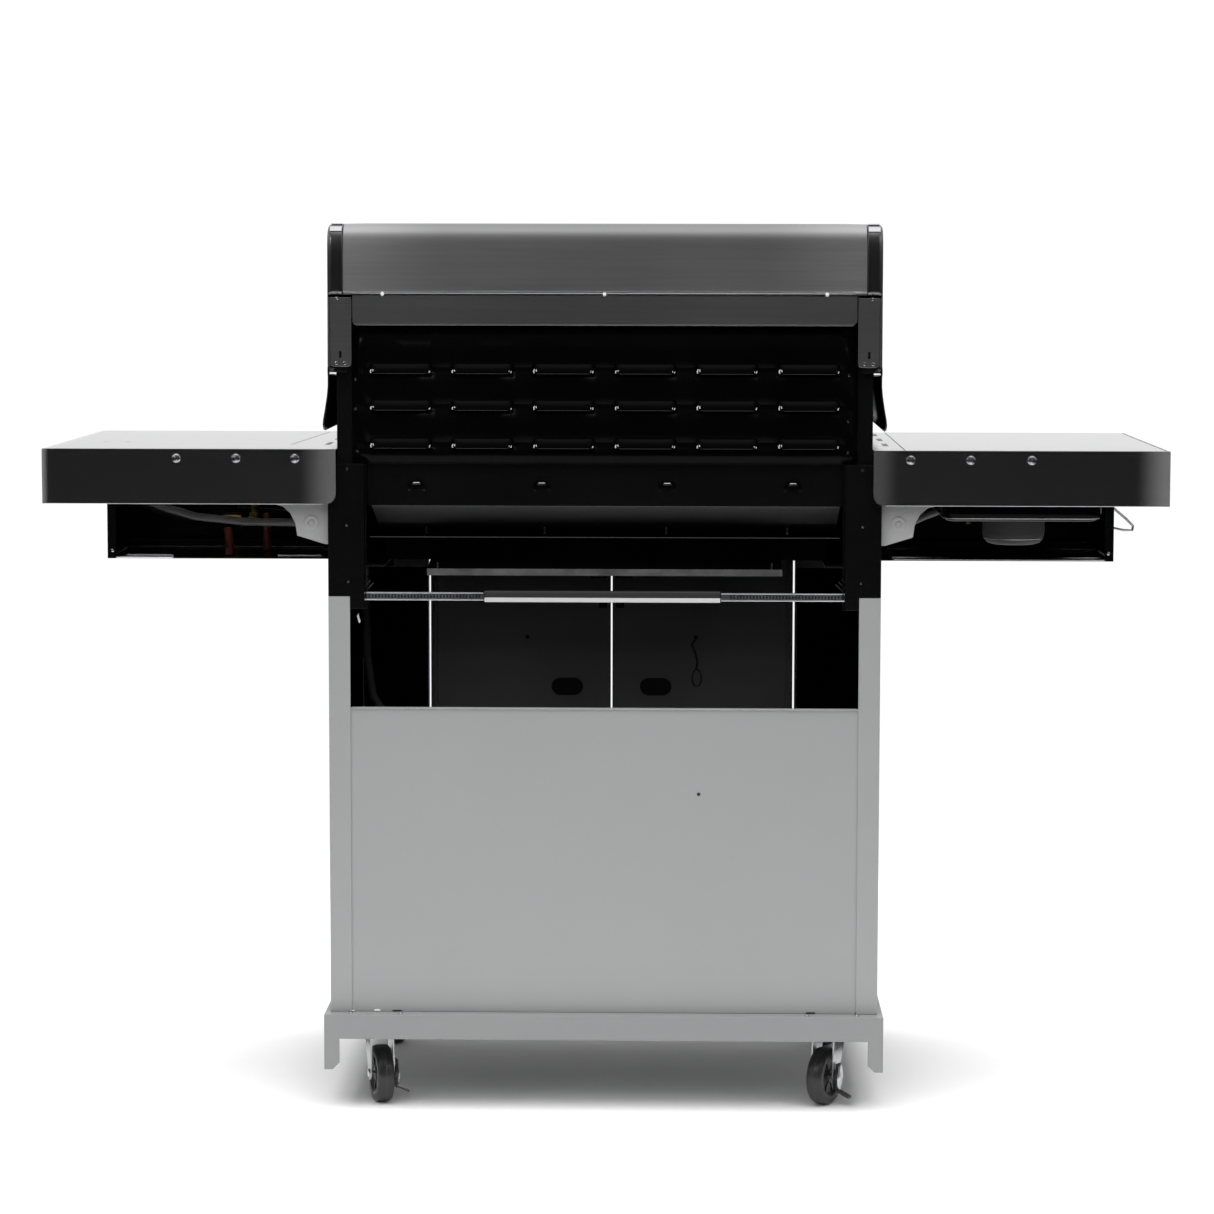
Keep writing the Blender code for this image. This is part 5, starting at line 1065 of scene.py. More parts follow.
def rounded(x0, x1, z0, z1, radii, count=6):
    """A rectangle with its own corner radius at lower left, lower right, upper right, upper left."""
    out = []
    for (cx, cz, start), radius in zip(((x0, z0, 180), (x1, z0, 270), (x1, z1, 0), (x0, z1, 90)), radii):
        ox = cx + (radius if cx == x0 else -radius)
        oz = cz + (radius if cz == z0 else -radius)
        for k in range(count + 1 if radius else 1):
            angle = math.radians(start + 90 * k / count)
            out.append((ox + radius * math.cos(angle), oz + radius * math.sin(angle)))
    return out


# ------------------------------------------------------------------ shelves
shr_low, shr_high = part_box("shelf_right")
SHELF_TOP, SHELF_LOW = shr_high.z, shr_low.z
REAR, FRONT = shr_high.y, shr_low.y
IN, OUT = shr_low.x, shr_high.x
lid_low, lid_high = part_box("side_burner_lid")
pan_low, pan_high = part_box("side_burner_pan")


def end_sheened(name, x_ends):
    """Brushed steel with a painted pale sheen toward the given ends along X, standing for the light the
    sheet's ends reflect.
    """
    made = surface(name, (0.55, 0.55, 0.555), 0.21, **SHEET_BRUSH)
    tree = made.node_tree
    along_x = object_axes(tree)["X"]
    one, two = (eased(tree, along_x, start, end, 0.0, amount) for start, end, amount in x_ends)
    metal_left = maths(tree, "SUBTRACT", 1.0, maths(tree, "MAXIMUM", one, two))
    tree.links.new(metal_left, tree.nodes["Principled BSDF"].inputs["Metallic"])
    return made


SHEEN_RIGHT = end_sheened("shelf_steel_painted_sheen_right", ((0.395, 0.35, 0.16), (0.716, 0.7245, 0.3)))
SHEEN_LEFT = end_sheened("shelf_steel_painted_sheen_left", ((-0.68, -0.7245, 0.26), (-0.38, -0.352, 0.07)))

for side, name, paint in ((1, "shelf_right", SHEEN_RIGHT), (-1, "shelf_left", SHEEN_LEFT)):
    build = bmesh.new()
    skirt = sided(side, rounded(IN, OUT, SHELF_LOW, SHELF_TOP - 0.0008, (0.014, 0.0015, 0.0006, 0.0006)))
    plate(build, skirt, [], "Y", REAR, SHEET)
    plate(build, skirt, [], "Y", FRONT + 0.0012, SHEET)
    add_box(
        build, *mirrored(side, OUT - 0.0013, OUT), FRONT + 0.0013, REAR - 0.0013, SHELF_LOW,
        SHELF_TOP - 0.0006
    )
    x0, x1 = mirrored(side, IN, OUT)
    if side > 0:
        plate(build, corners(x0, x1 - 0.0003, FRONT + 0.0006, REAR - 0.0006), [], "Z", SHELF_TOP, SHEET)
    else:
        well = corners(lid_low.x - 0.0015, lid_high.x + 0.0015, lid_low.y - 0.0015, lid_high.y + 0.0015)
        plate(build, corners(x0 + 0.0003, x1, FRONT + 0.0006, REAR - 0.0006), [well], "Z", SHELF_TOP, SHEET)
        hole = corners(pan_low.x + 0.006, pan_high.x - 0.006, pan_low.y + 0.006, pan_high.y - 0.006)
        plate(build, well, [hole], "Z", SHELF_TOP - 0.0053, 0.0014)
        for a, b in zip(well, well[1:] + well[:1]):
            high, low = SHELF_TOP - 0.0006, SHELF_TOP - 0.0058
            build.faces.new(add_ring(build, [(*a, high), (*b, high), (*b, low), (*a, low)]))
    shelf = finish_mesh(name + "_piece", build, paint, "frame", bevel=0.0006, slot="stainless")
    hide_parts(name)

build = bmesh.new()
marks = bmesh.new()
MARK_Z = SHELF_TOP + 0.00015
for x in (0.551, 0.474, 0.398, -0.393, -0.47, -0.548):
    add_screw(build, (x, REAR, 0.85), TO_REAR, 0.0058, 0.0032, washer=0.0072)
    # A dark cross on each screw head paints the shade in its recess.
    add_box(marks, x - 0.0026, x + 0.0026, REAR + 0.0034, REAR + 0.0038, 0.8497, 0.8503)
    add_box(marks, x - 0.0003, x + 0.0003, REAR + 0.0034, REAR + 0.0038, 0.8474, 0.8526)
for side in (-1, 1):
    x0, x1 = mirrored(side, IN + 0.016, OUT - 0.002)
    add_tube(
        build, [(x0, REAR - 0.0001, SHELF_LOW + 0.0003), (x1, REAR - 0.0001, SHELF_LOW + 0.0003)], 0.0004, 8
    )
finish_mesh("shelf_skirt_screws", build, SCREW, "frame")
seam_a, seam_b = Vector((0.415, 0.169, 0)), Vector((0.398, -0.172, 0))
wide = Vector((0.0006, 0, 0))
seam = (seam_a - wide, seam_a + wide, seam_b + wide, seam_b - wide)
marks.faces.new(add_ring(marks, [(p.x, p.y, MARK_Z) for p in seam]))
add_box(
    marks, lid_high.x + 0.0001, lid_high.x + 0.0015, lid_low.y, 0.169, SHELF_TOP - 0.0004,
    SHELF_TOP + 0.0002
)
# Three flat dark slits at each shelf's inner end paint the shade in its vent slots.
for side in (-1, 1):
    for y in (-0.127, 0.007, 0.141):
        slit = corners(-0.0035, 0.0035, -0.03, 0.03)
        marks.faces.new(add_ring(marks, [(side * 0.3675 + a, y + b, MARK_Z) for a, b in slit]))
for x, y in ((0.64, 0.11), (0.668, 0.115)):
    diamond = ((1, 0), (0, 1), (-1, 0), (0, -1))
    marks.faces.new(
        add_ring(marks, [(x + a * 0.004, y + b * 0.004, SHELF_TOP + 0.0001) for a, b in diamond])
    )
dressed("shelf_marks", marks, "knob_dark")

# ------------------------------------------------------------------ brackets with pressed rings
for side, name in ((1, "shelf_bracket_right"), (-1, "shelf_bracket_left")):
    refined(name, 0.0006)
    build = bmesh.new()
    centre = (side * 0.3795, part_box(name)[1].y, 0.766)
    ring = [(0.004, 0.0), (0.0064, 0.001), (0.008, 0.0013), (0.0094, 0.0008), (0.0102, 0.0)]
    add_lathe(build, [(0.0, 0.0004), (0.0034, 0.0004)] + ring, centre, TO_REAR, 28)
    add_lathe(build, [(0.0, 0.0016), (0.003, 0.0014), (0.0036, 0.0004), (0.0036, 0.0)], centre, TO_REAR, 16)
    dressed(name + "_ring", build, "pale_paint", smooth=50)

# ------------------------------------------------------------------ side burner pan
build = bmesh.new()


def tub(build, x0, x1, y0, y1, top, floor_z, corner, foot):
    """A pressed tub: rim outline falling through a rounded wall to its floor. Returns the floor's ring."""
    levels = []
    steps = ((0.0, top), (0.0, floor_z + foot))
    for share in (0.33, 0.67, 1.0):
        angle = share * math.pi / 2
        steps += ((foot * (1 - math.cos(angle)), floor_z + foot * (1 - math.sin(angle))),)
    for inset, z in steps:
        outline = rounded(x0 + inset, x1 - inset, y0 + inset, y1 - inset, (corner - inset * 0.7,) * 4)
        levels.append(add_ring(build, [(x, y, z) for x, y in outline]))
    for one, two in zip(levels, levels[1:]):
        bridge(build, one, two)
    return levels[-1]


RIM_Z = pan_high.z
PAN_FLOOR_Z = 0.765
BOWL_SIDES = 28


def pan_frame(inset):
    """The pan's edges in plan, moved in by inset."""
    return pan_low.x + inset, pan_high.x - inset, pan_low.y + inset, pan_high.y - inset


outer = tub(build, *pan_frame(0.0085), RIM_Z, PAN_FLOOR_Z + 0.0005, 0.016, 0.01)
side_x, side_y = (pan_low.x + pan_high.x) / 2, (pan_low.y + pan_high.y) / 2
edges = [build.edges.get(pair) for pair in zip(outer, outer[1:] + outer[:1])]
ring = add_ring(build, [(x, y, PAN_FLOOR_Z + 0.0005) for x, y in circle(side_x, side_y, 0.041, BOWL_SIDES)])
edges += [build.edges.new(pair) for pair in zip(ring, ring[1:] + ring[:1])]
bmesh.ops.triangle_fill(build, use_beauty=True, edges=edges)
previous = ring
for radius, z in (
    (0.0405, 0.742), (0.04, 0.7385), (0.038, 0.733), (0.034, 0.7292), (0.028, 0.7275), (0.0, 0.7275)
):
    count = BOWL_SIDES if radius else 1
    now = add_ring(build, [(x, y, z) for x, y in circle(side_x, side_y, radius, BOWL_SIDES)[:count]])
    for i in range(BOWL_SIDES):
        j = (i + 1) % BOWL_SIDES
        build.faces.new(list(dict.fromkeys([previous[i], previous[j], now[j % count], now[i % count]])))
    previous = now
pan = finish_mesh("side_burner_pan_piece", build, LOUVRE, "frame", smooth=45, slot="black_enamel")
pan.data.materials.append(SLOPE)
for face in pan.data.polygons:
    if face.center.z < PAN_FLOOR_Z - 0.002:
        face.material_index = 1
wall = pan.modifiers.new("wall", "SOLIDIFY")
wall.thickness = 0.0012
wall.offset = 1.0
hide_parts("side_burner_pan")
# Thin zinc lines along the tub's rounded foot and round the bowl's foot paint highlights on those bends.
build = bmesh.new()
loop = rounded(*pan_frame(0.01), (0.016,) * 4)
add_tube(build, [(x, y, PAN_FLOOR_Z + 0.0035) for x, y in loop + loop[:1]], 0.0007, 8, capped=False)
foot_ring = [(x, y, 0.7345) for x, y in circle(side_x, side_y, 0.04, 40)]
add_tube(build, foot_ring + foot_ring[:1], 0.0005, 8, capped=False)
dressed("side_burner_pan_edge_highlights", build, "zinc", smooth=60)
build = bmesh.new()
plate(
    build, rounded(*pan_frame(0.0), (0.012,) * 4), [rounded(*pan_frame(0.009), (0.014,) * 4)], "Z", RIM_Z,
    0.0014
)
dressed("side_burner_pan_rim", build, "black_enamel", bevel=0.0003)
build = bmesh.new()
lead = [
    (side_x + x, side_y + y, z)
    for x, y, z in ((0.088, -0.02, 0.772), (0.12, -0.02, 0.76), (0.15, -0.03, 0.744))
]
add_tube(build, smooth_path(lead, 5), 0.0045, 12)
dressed("side_burner_lead", build, "hose_rubber")
build = bmesh.new()
add_lathe(
    build, [(0, 0), (0.0055, 0), (0.0055, 0.004), (0.0035, 0.005), (0.0035, 0.01), (0, 0.01)],
    (side_x + 0.062, side_y + 0.02, 0.764), (0, 0, -1), 6
)
dressed("side_burner_spark_plug", build, "brass")

# ------------------------------------------------------------------ control box insides: folded lips, wires
cp_low, cp_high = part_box("control_panel")
build = bmesh.new()
for side in (-1, 1):
    a, b = mirrored(side, 0.365, cp_high.x - 0.004)
    for y, z, radius in (
        (FRONT + 0.0035, cp_low.z + 0.002, 0.0018), (FRONT + 0.001, cp_low.z + 0.0105, 0.0012)
    ):
        add_tube(build, [(a, y, z), (b, y, z)], radius, 10)
    lip = [
        (FRONT + 0.005, cp_low.z + 0.0005), (FRONT + 0.005, cp_low.z + 0.0125),
        (FRONT + 0.004, cp_low.z + 0.0125), (FRONT + 0.003, cp_low.z + 0.0005)
    ]
    add_prism(build, lip, "X", a, b)
for side in (-1, 1):
    a, b = mirrored(side, 0.366, cp_high.x - 0.002)
    add_box(build, a, b, cp_low.y + 0.005, cp_high.y - 0.001, cp_low.z + 0.0001, cp_low.z + 0.0013)
dressed("control_panel_folds", build, "black_enamel", bevel=0.0003)
# Thin bright steel tubes along the black box's lower edges paint the highlights on its folds.
build = bmesh.new()
for a, b, inside, radius in (
    (0.6, 0.678, 0.0012, 0.0011), (0.605, 0.67, 0.04, 0.0008), (0.4, 0.46, 0.04, 0.0005),
    (-0.68, -0.39, 0.0012, 0.0005), (-0.678, -0.62, 0.04, 0.0006), (-0.47, -0.39, 0.04, 0.0006)
):
    add_tube(build, [(x, cp_high.y - inside, cp_low.z + 0.0016) for x in (a, b)], radius, 8)
finish_mesh("control_panel_fold_highlights", build, SCREW, "frame")
build = bmesh.new()
for side in (-1, 1):
    x0, x1 = mirrored(side, cp_high.x - 0.013, cp_high.x - 0.001)
    for z in (0.706, 0.776):
        add_screw(build, ((x0 + x1) / 2, cp_high.y, z), TO_REAR, 0.0026)
finish_mesh("control_panel_screws", build, SCREW, "frame")
build = bmesh.new()
add_tube(
    build,
    smooth_path(
        [(0.529, -0.06, 0.734), (0.5275, -0.056, 0.72), (0.5265, -0.058, 0.708), (0.527, -0.056, 0.6972)], 5
    ),
    0.0062, 14
)
add_tube(
    build,
    smooth_path(
        [(0.485, -0.14, 0.748), (0.4835, -0.132, 0.73), (0.483, -0.13, 0.715), (0.483, -0.13, 0.699)], 5
    ),
    0.0055, 12
)
finish_mesh("ignition_sleeves", build, WIRE_RED, "frame", smooth=60)
build = bmesh.new()
for start, bend, end in (
    ((0.345, -0.225, 0.79), (0.42, -0.2, 0.765), (0.483, -0.172, 0.76)),
    ((0.345, -0.225, 0.786), (0.44, -0.19, 0.752), (0.528, -0.165, 0.756)),
    ((0.5, -0.165, 0.768), (0.515, -0.15, 0.778), (0.545, -0.17, 0.764)),
):
    add_tube(build, smooth_path([start, bend, end], 8), 0.0013, 8)
dressed("ignition_wires", build, "knob_dark")
build = bmesh.new()
add_box(build, 0.501, 0.513, -0.176, -0.168, 0.742, 0.748)
add_lathe(build, [(0, 0), (0.0035, 0), (0.0035, 0.006), (0, 0.006)], (0.5, -0.168, 0.769), TO_REAR, 12)
dressed("wire_clips", build, "brass", bevel=0.0004)

# ------------------------------------------------------------------ posts, rail, tray grip
build = bmesh.new()
post_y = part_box("upper_support_right")[1].y
for side in (-1, 1):
    for x, z in ((0.332, 0.836), (0.333, 0.763), (0.331, 0.69)):
        add_screw(build, (side * x, post_y, z), TO_REAR, 0.0013, 0.0007, cross=False)
finish_mesh("post_screws", build, SCREW, "frame")
build = bmesh.new()
for side in (-1, 1):
    add_box(build, *mirrored(side, 0.311, 0.328), post_y - 0.0016, post_y - 0.0004, 0.679, 0.696)
    add_box(build, *mirrored(side, 0.3075, 0.3092), post_y - 0.01, post_y - 0.001, 0.655, 0.842)
dressed("post_folds", build, "black_enamel", bevel=0.0004)

sleeve_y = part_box("tray_cross_rail")[1].y
build = bmesh.new()
for x0, x1 in ((0.156, 0.325), (-0.325, -0.151)):
    add_box(build, x0, x1, sleeve_y - 0.01, sleeve_y - 0.002, 0.6665, 0.6765)
    add_tube(build, [(x0, sleeve_y - 0.0022, 0.676), (x1, sleeve_y - 0.0022, 0.676)], 0.0009, 8)
    add_tube(build, [(x0, sleeve_y - 0.0018, 0.6672), (x1, sleeve_y - 0.0018, 0.6672)], 0.0012, 8)
rail = dressed("tray_cross_rail_piece", build, "zinc", bevel=0.0003)
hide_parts("tray_cross_rail")
build = bmesh.new()
teeth = 0.0042
count = int((0.316 - 0.16) / teeth)
for k in range(count):
    for start in (0.16, -0.316):
        x = start + k * teeth
        add_box(build, x, x + teeth * 0.5, sleeve_y - 0.0021, sleeve_y - 0.0013, 0.6695, 0.6735)
dressed("rail_rack_teeth", build, "knob_dark")
build = bmesh.new()
outline = [
    (sleeve_y - 0.011, 0.6785), (sleeve_y - 0.0012, 0.6785), (sleeve_y - 0.0004, 0.6775),
    (sleeve_y - 0.0002, 0.6755), (sleeve_y, 0.6735), (sleeve_y, 0.6652), (sleeve_y - 0.001, 0.6642),
    (sleeve_y - 0.011, 0.6642)
]
add_prism(build, outline, "X", -0.15, 0.155)
finish_mesh("rail_sleeve", build, SLEEVE, "frame", bevel=0.0004, slot="zinc")
# A pale strip along the sleeve's lower edge, a painted highlight.
build = bmesh.new()
add_box(build, -0.1498, 0.1548, sleeve_y - 0.002, sleeve_y + 0.0003, 0.6645, 0.6702)
finish_mesh("rail_sleeve_edge", build, GLINT_WHITE, "frame", bevel=0.0003, slot="zinc")
build = bmesh.new()
for side in (-1, 1):
    add_box(build, *mirrored(side, 0.325, 0.344), sleeve_y - 0.011, sleeve_y - 0.002, 0.662, 0.679)
    for k in range(3):
        px, pz = side * (0.3165 - 0.004 * k), 0.6845 - 0.003 * k
        add_tube(
            build, [(px, sleeve_y - 0.006, pz), (px - side * 0.01, sleeve_y - 0.004, pz + 0.01)], 0.0009, 8
        )
dressed("rail_ends", build, "knob_dark", bevel=0.0005)

tray_low, tray_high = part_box("grease_tray")
build = bmesh.new()
for x in (-0.2165, 0.2165):
    add_tube(build, [(x, tray_high.y - 0.0012, 0.707), (x, tray_high.y - 0.0012, 0.715)], 0.0012, 10)
finish_mesh("tray_pins", build, SCREW, "grease_drawer")
build = bmesh.new()
add_box(
    build, -0.2302, 0.2302, tray_high.y - 0.0004, tray_high.y + 0.0004, tray_low.z + 0.0001,
    tray_low.z + 0.0088
)
finish_mesh("tray_grip_face", build, GRIP, "grease_drawer", bevel=0.0002, slot="zinc")
build = bmesh.new()
add_tube(build, [(-0.304, 0.256, 0.7475), (0.304, 0.256, 0.7475)], 0.0008, 8)
dressed("trough_hems", build, "black_enamel")
# Thin black sheets over the cabinet's inner faces paint the shade inside the cabinet.
build = bmesh.new()
for side in (-1, 1):
    add_box(build, *mirrored(side, 0.3545, 0.3552), -0.19, 0.266, 0.13, 0.668)
    add_box(build, *mirrored(side, 0.264, 0.3545), -0.2098, -0.2092, 0.13, 0.668)
    add_box(build, *mirrored(side, 0.2622, 0.2628), -0.209, -0.194, 0.13, 0.668)
finish_mesh("cabinet_inner_painted_shade", build, LOUVRE, "frame", slot="black_enamel")
# A small white plate paints the light seen through the gap beside the post.
build = bmesh.new()
add_prism(build, [(0.3165, 0.637), (0.3185, 0.6345), (0.3215, 0.644), (0.3195, 0.6475)], "Y", 0.2585, 0.259)
finish_mesh("post_gap_painted_light", build, DIAL, "frame")

# ------------------------------------------------------------------ doors: skin, liner, handles
DOOR_DEEP = 0.018
for side, hand in ((-1, "left"), (1, "right")):
    edge_in = 0.00125
    z0, z1 = 0.131, 0.6905
    y0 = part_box("door_" + hand)[0].y
    y1 = y0 + DOOR_DEEP
    body = "cabinet_door_" + hand
    build = bmesh.new()
    half_round = [(edge_in, y0), (0.249, y0)]
    for k in range(1, 12):
        angle = math.radians(-90 + 180 * k / 12)
        half_round.append((0.249 + 0.009 * math.cos(angle), y0 + 0.009 + 0.009 * math.sin(angle)))
    half_round += [(0.249, y1), (0.248, y1 - 0.0016), (edge_in, y1 - 0.0016)]
    add_prism(build, sided(side, half_round), "Z", z0, z1)
    for za, zb in ((0.1258, z0), (z1, 0.6946)):
        add_tube(build, [(side * 0.249, y0 + 0.009, za), (side * 0.249, y0 + 0.009, zb)], 0.005, 16)
    door = dressed(f"door_{hand}_piece", build, "door_paint", body, bevel=0.0005)
    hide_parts("door_" + hand)
    build = bmesh.new()
    liner = rounded(edge_in + 0.0015, 0.247, z0 + 0.002, z1 - 0.002, (0.004,) * 4)
    hand_hole = stadium(0.041, 0.085, 0.487, 0.511)
    holes = [hand_hole, circle(0.12, 0.57, 0.003)]
    holes += [circle(x, 0.652, 0.0022) for x in (0.238, 0.23, 0.018)]
    plate(build, sided(side, liner), [sided(side, hole) for hole in holes], "Y", y1, SHEET)
    dressed(f"door_{hand}_liner", build, "door_paint", body, bevel=0.0003)
    build = bmesh.new()
    rim = stadium(0.0404, 0.0856, 0.4864, 0.5116)
    plate(build, sided(side, rim), [sided(side, hand_hole)], "Y", y1 + 0.0006, 0.003)
    # Dark plates just behind the hand hole and the round hole paint the shade seen through them.
    for hole in (hand_hole, circle(0.12, 0.57, 0.0034)):
        add_prism(build, sided(side, hole), "Y", y1 - 0.0015, y1 - 0.0012)
    add_box(build, *mirrored(side, 0.006, 0.018), y1 - 0.0005, y1 + 0.0038, 0.612, 0.628)
    add_box(build, *mirrored(side, 0.006, 0.03), y1 - 0.0002, y1 + 0.0012, 0.654, 0.659)
    dressed(f"door_{hand}_fittings_and_hole_shade", build, "knob_dark", body, bevel=0.0003)
    handle_low, handle_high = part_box("door_handle_" + hand)
    hx = (handle_low.x + handle_high.x) / 2
    hy = handle_low.y + 0.007
    build = bmesh.new()
    profile = [
        (0, 0), (0.005, 0), (0.0065, 0.0008), (0.007, 0.0025), (0.007, 0.2275), (0.0065, 0.2292),
        (0.005, 0.23), (0, 0.23)
    ]
    add_lathe(build, profile, (hx, hy, handle_low.z), (0, 0, 1), 24)
    for z in (handle_low.z + 0.022, handle_high.z - 0.022):
        add_lathe(
            build,
            [(0.0, 0.0), (0.005, 0.0), (0.0048, 0.018), (0.0065, 0.0255), (0.0065, 0.0273), (0, 0.0273)],
            (hx, hy, z), TO_REAR, 20
        )
    grip = dressed(f"door_handle_{hand}_piece", build, "chrome", body)
    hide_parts("door_handle_" + hand)

# chain for the lighting rod, hung on the left door's liner
build = bmesh.new()
liner_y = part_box("door_left")[0].y + DOOR_DEEP
hang = [(-0.1205, 0.568), (-0.115, 0.56), (-0.119, 0.548), (-0.122, 0.536), (-0.121, 0.525)]
links = smooth_path([(a, 0.0, b) for a, b in hang], 5)
for k, (p, q) in enumerate(zip(links, links[1:])):
    mid = (p + q) / 2
    run = (q - p).normalized()
    across = Vector((run.z, 0, -run.x)) if k % 2 else Vector((0, 1, 0))
    ring = []
    for step in range(11):
        angle = TURN * step / 10
        ring.append(
            Vector(
                (mid.x, liner_y + 0.0026, mid.z)
            ) + run * 0.0022 * math.cos(angle) + across * 0.0013 * math.sin(angle)
        )
    add_tube(build, ring, 0.00045, 6, capped=False)
oval = []
for step in range(25):
    angle = TURN * step / 24
    oval.append((-0.1215 + 0.0065 * math.sin(angle), liner_y + 0.0024, 0.512 + 0.012 * math.cos(angle)))
add_tube(build, oval, 0.0008, 8, capped=False)
dressed("lighting_rod_chain", build, "cast_iron", "cabinet_door_left", smooth=60)

# ------------------------------------------------------------------ rear panel and base details
panel_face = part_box("rear_panel")[1].y
base_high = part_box("base_tray")[1]
# Flat dark plates just behind the rear panel's face paint the shade inside a small hole and four slots near
# its foot.
build = bmesh.new()
add_lathe(
    build, [(0, 0.0004), (0.0022, 0.0004), (0.0026, 0.0), (0, 0.0)], (-0.123, panel_face - 0.0017, 0.4145),
    TO_REAR, 16
)
for x in (0.334, 0.27, -0.27, -0.334):
    add_box(build, x - 0.006, x + 0.006, panel_face - 0.002, panel_face - 0.0005, 0.1262, 0.1278)
dressed("panel_hole_shade", build, "knob_dark")
build = bmesh.new()
add_box(build, 0.292, 0.3, panel_face - 0.002, panel_face + 0.001, 0.1262, 0.1282)
add_box(build, 0.326, 0.33, panel_face - 0.002, panel_face + 0.001, 0.1262, 0.1272)
finish_mesh("panel_clip", build, DIAL, "frame", bevel=0.0003)
build = bmesh.new()
for side in (-1, 1):
    for x in (0.265, 0.33):
        add_screw(build, (side * x, base_high.y - 0.01, base_high.z), (0, 0, 1), 0.0034, 0.0018)
finish_mesh("base_screws", build, SCREW, "frame")

# ------------------------------------------------------------------ knobs and their marks
for name in ("knob_1", "knob_2", "knob_3", "knob_4", "knob_side_burner"):
    low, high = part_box(name)
    cx, cz = (low.x + high.x) / 2, (low.z + high.z) / 2
    back_y = high.y
    build = bmesh.new()
    profile = [
        (0.0035, 0.0), (0.0225, 0.0), (0.0225, 0.004), (0.0218, 0.0056), (0.019, 0.0085), (0.0172, 0.013),
        (0.016, 0.03), (0.015, 0.0345), (0.0135, 0.0358), (0.0, 0.0358)
    ]
    add_lathe(build, profile, (cx, back_y, cz), TO_FRONT, 40)
    body = body_of_node[name]
    knob = dressed(name + "_piece", build, "knob_metal", body, smooth=40)
    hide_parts(name)
    build = bmesh.new()
    grip = rounded(cx - 0.004, cx + 0.004, cz - 0.016, cz + 0.016, (0.003,) * 4)
    add_prism(build, grip, "Y", low.y, low.y + 0.006)
    dressed(name + "_grip", build, "knob_metal", body, bevel=0.0008)
    build = bmesh.new()
    add_box(build, cx - 0.0008, cx + 0.0008, low.y - 0.0001, low.y + 0.001, cz + 0.005, cz + 0.0145)
    add_lathe(
        build, [(0.0229, 0.0), (0.0235, 0.0), (0.0235, 0.0009), (0.0229, 0.0012)],
        (cx, back_y + 0.0014, cz), TO_FRONT, 40
    )
    dressed(name + "_pointer", build, "knob_dark", body)
    build = bmesh.new()
    face_y = cp_low.y
    for k in range(7):
        angle = math.radians(90 - 30 * k)
        size = 0.0007 + 0.00012 * k
        add_lathe(
            build, [(0, 0), (size, 0), (size, 0.0002), (0, 0.0002)],
            (cx + 0.0275 * math.cos(angle), face_y, cz + 0.0275 * math.sin(angle)), TO_FRONT, 10
        )
    finish_mesh(name + "_scale", build, DIAL, "frame")

# ------------------------------------------------------------------ heat tents and casters
for k in (1, 2, 3, 4):
    refined(f"heat_tent_{k}", 0.0004)

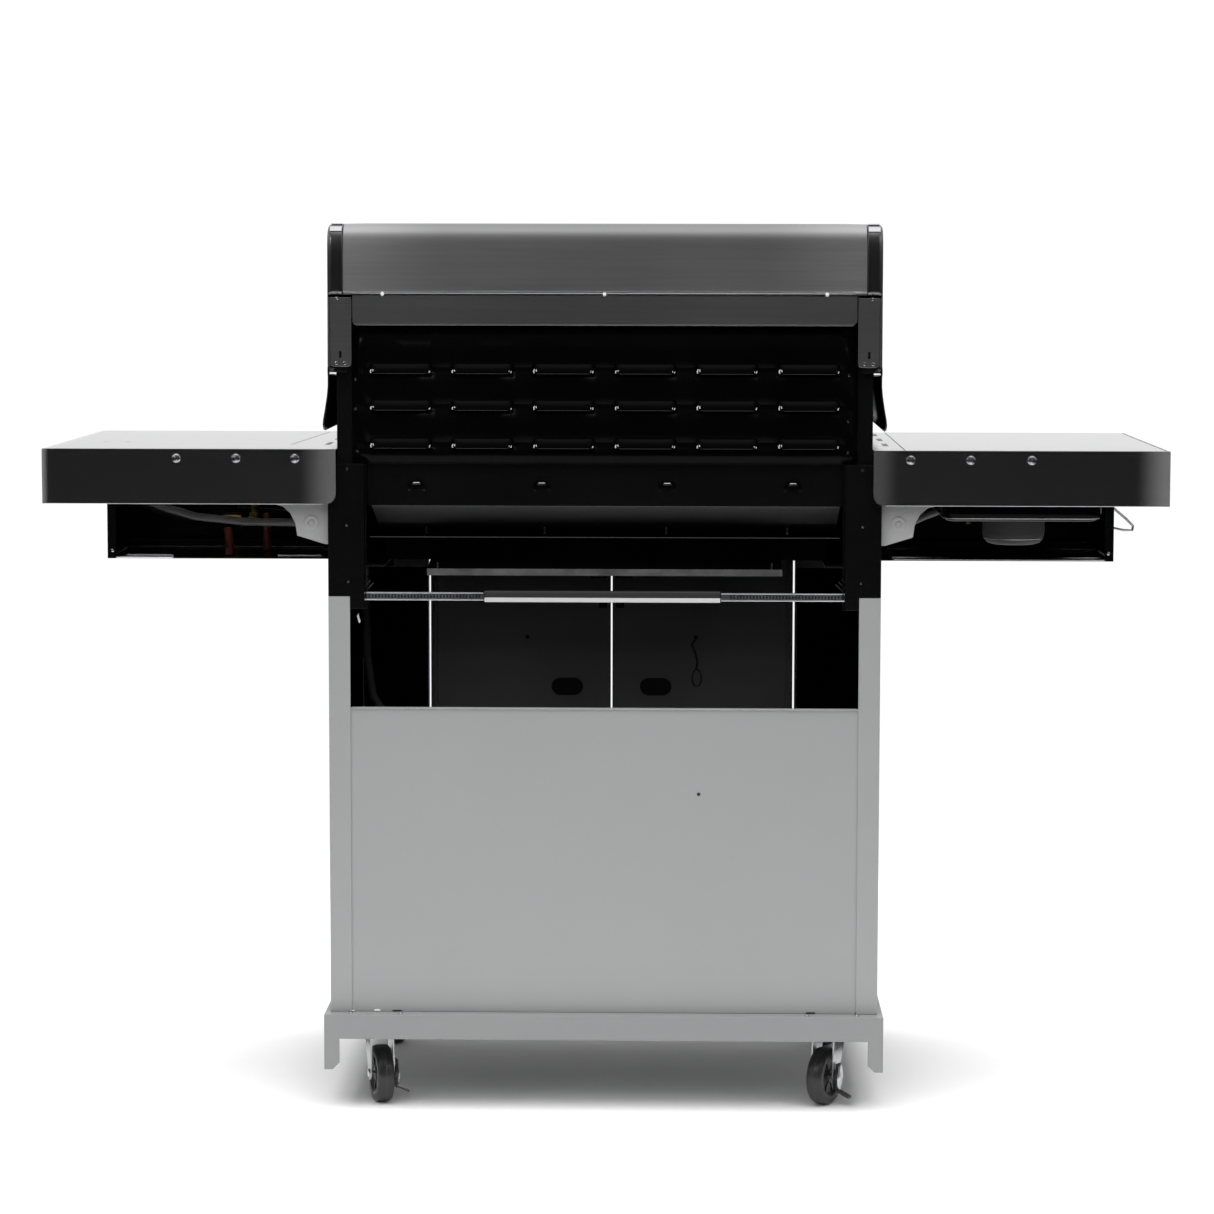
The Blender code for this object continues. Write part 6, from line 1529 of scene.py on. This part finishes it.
FORK_HALF = 0.016
for corner in ("rear_right", "rear_left", "front_right", "front_left"):
    roll = joints[corner + "_roll"]
    axle = Vector(roll["pos_m"])
    axis = Vector(roll["axis"])
    build = bmesh.new()
    half = [
        (0.0042, 0.0092), (0.0075, 0.0092), (0.008, 0.007), (0.0225, 0.006), (0.025, 0.0085),
        (0.0268, 0.0108), (0.032, 0.0114), (0.035, 0.0106), (0.0366, 0.0086), (0.0373, 0.005),
        (0.0374, 0.001), (0.0375, 0.0004)
    ]
    profile = [(r, -h) for r, h in half] + [(r, h) for r, h in reversed(half)]
    add_lathe(build, profile + [profile[0]], axle, axis, 56)
    wheel = dressed(f"wheel_{corner}_piece", build, "tyre", "wheel_" + corner, smooth=40)
    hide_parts("caster_wheel_" + corner)
    build = bmesh.new()
    for sign in (-1, 1):
        centre = axle + axis * sign * 0.0062
        add_lathe(
            build, [(0.0046, 0.0), (0.0046, 0.0026), (0.0085, 0.0026), (0.0095, 0.0004)], centre,
            axis * sign, 24
        )
        spin = Vector((0, 0, 1)).rotation_difference(axis * sign).to_matrix()
        for k in range(6):
            angle = math.radians(60 * k)
            d = spin @ ray(angle)
            w = spin @ Vector((-math.sin(angle), math.cos(angle), 0)) * 0.0012
            up = axis * sign * 0.0018
            lower = [
                centre + d * 0.009 - w, centre + d * 0.0225 - w, centre + d * 0.0225 + w,
                centre + d * 0.009 + w
            ]
            verts = add_ring(build, lower + [p + up for p in lower])
            for face in (
                (0, 1, 2, 3), (4, 5, 6, 7), (0, 1, 5, 4), (1, 2, 6, 5), (2, 3, 7, 6), (3, 0, 4, 7)
            ):
                build.faces.new([verts[i] for i in face])
    finish_mesh(f"wheel_{corner}_hub", build, HUB, "wheel_" + corner)
    build = bmesh.new()
    ragged = random.Random(11)
    spin = Vector((0, 0, 1)).rotation_difference(axis).to_matrix()
    for k in range(120):
        angle = TURN * (k + ragged.random() * 0.6) / 120
        if ragged.random() < 0.25:
            continue
        d = spin @ ray(angle)
        t = spin @ Vector((-math.sin(angle), math.cos(angle), 0))
        long = 0.0006 + ragged.random() * 0.0007
        mid = axle + d * 0.03748 + axis * (ragged.random() - 0.5) * 0.0004
        quad = [
            mid - t * long - axis * 0.0004, mid + t * long - axis * 0.0003, mid + t * long + axis * 0.0004,
            mid - t * long + axis * 0.0003
        ]
        build.faces.new(add_ring(build, quad))
    dressed(f"wheel_{corner}_mould_line", build, "hose_rubber", "wheel_" + corner)
    refined("caster_fork_" + corner, 0.0007)
    swivel = "swivel_" + corner
    build = bmesh.new()
    ahead = axis.cross(Vector((0, 0, 1))).normalized()
    for sign in (-1, 1):
        outer_face = axle + axis * sign * FORK_HALF
        add_lathe(
            build, [(0, 0), (0.0066, 0), (0.0066, 0.0014), (0.0052, 0.0022), (0, 0.0022)], outer_face,
            axis * sign, 6
        )
    finish_mesh(f"fork_{corner}_nuts", build, SCREW, swivel)
    if not corner.startswith("rear"):
        continue
    refined("caster_brake_" + corner, 0.0005)
    brake = "brake_" + corner
    outward = -axis
    base = axle + outward * (FORK_HALF + 0.0058)
    build = bmesh.new()
    spin = Matrix((ahead, Vector((0, 0, 1)), outward)).transposed()
    wing = []
    for k in range(32):
        angle = TURN * k / 32
        radius = 0.0095 + 0.0065 * abs(math.sin(angle + 0.3)) ** 3 + 0.002 * abs(math.cos(angle * 2)) ** 4
        wing.append((radius * 0.72 * math.cos(angle), radius * math.sin(angle)))
    rings = []
    for height, shrink in ((-0.0004, 1.0), (0.0008, 1.0), (0.0016, 0.88), (0.001, 0.62), (0.0022, 0.4)):
        rings.append(
            add_ring(build, [base + spin @ Vector((a * shrink, b * shrink, height)) for a, b in wing])
        )
    build.faces.new(rings[0])
    build.faces.new(rings[-1])
    for one, two in zip(rings, rings[1:]):
        bridge(build, one, two)
    dressed(f"brake_{corner}_wing", build, "zinc", brake, smooth=45)
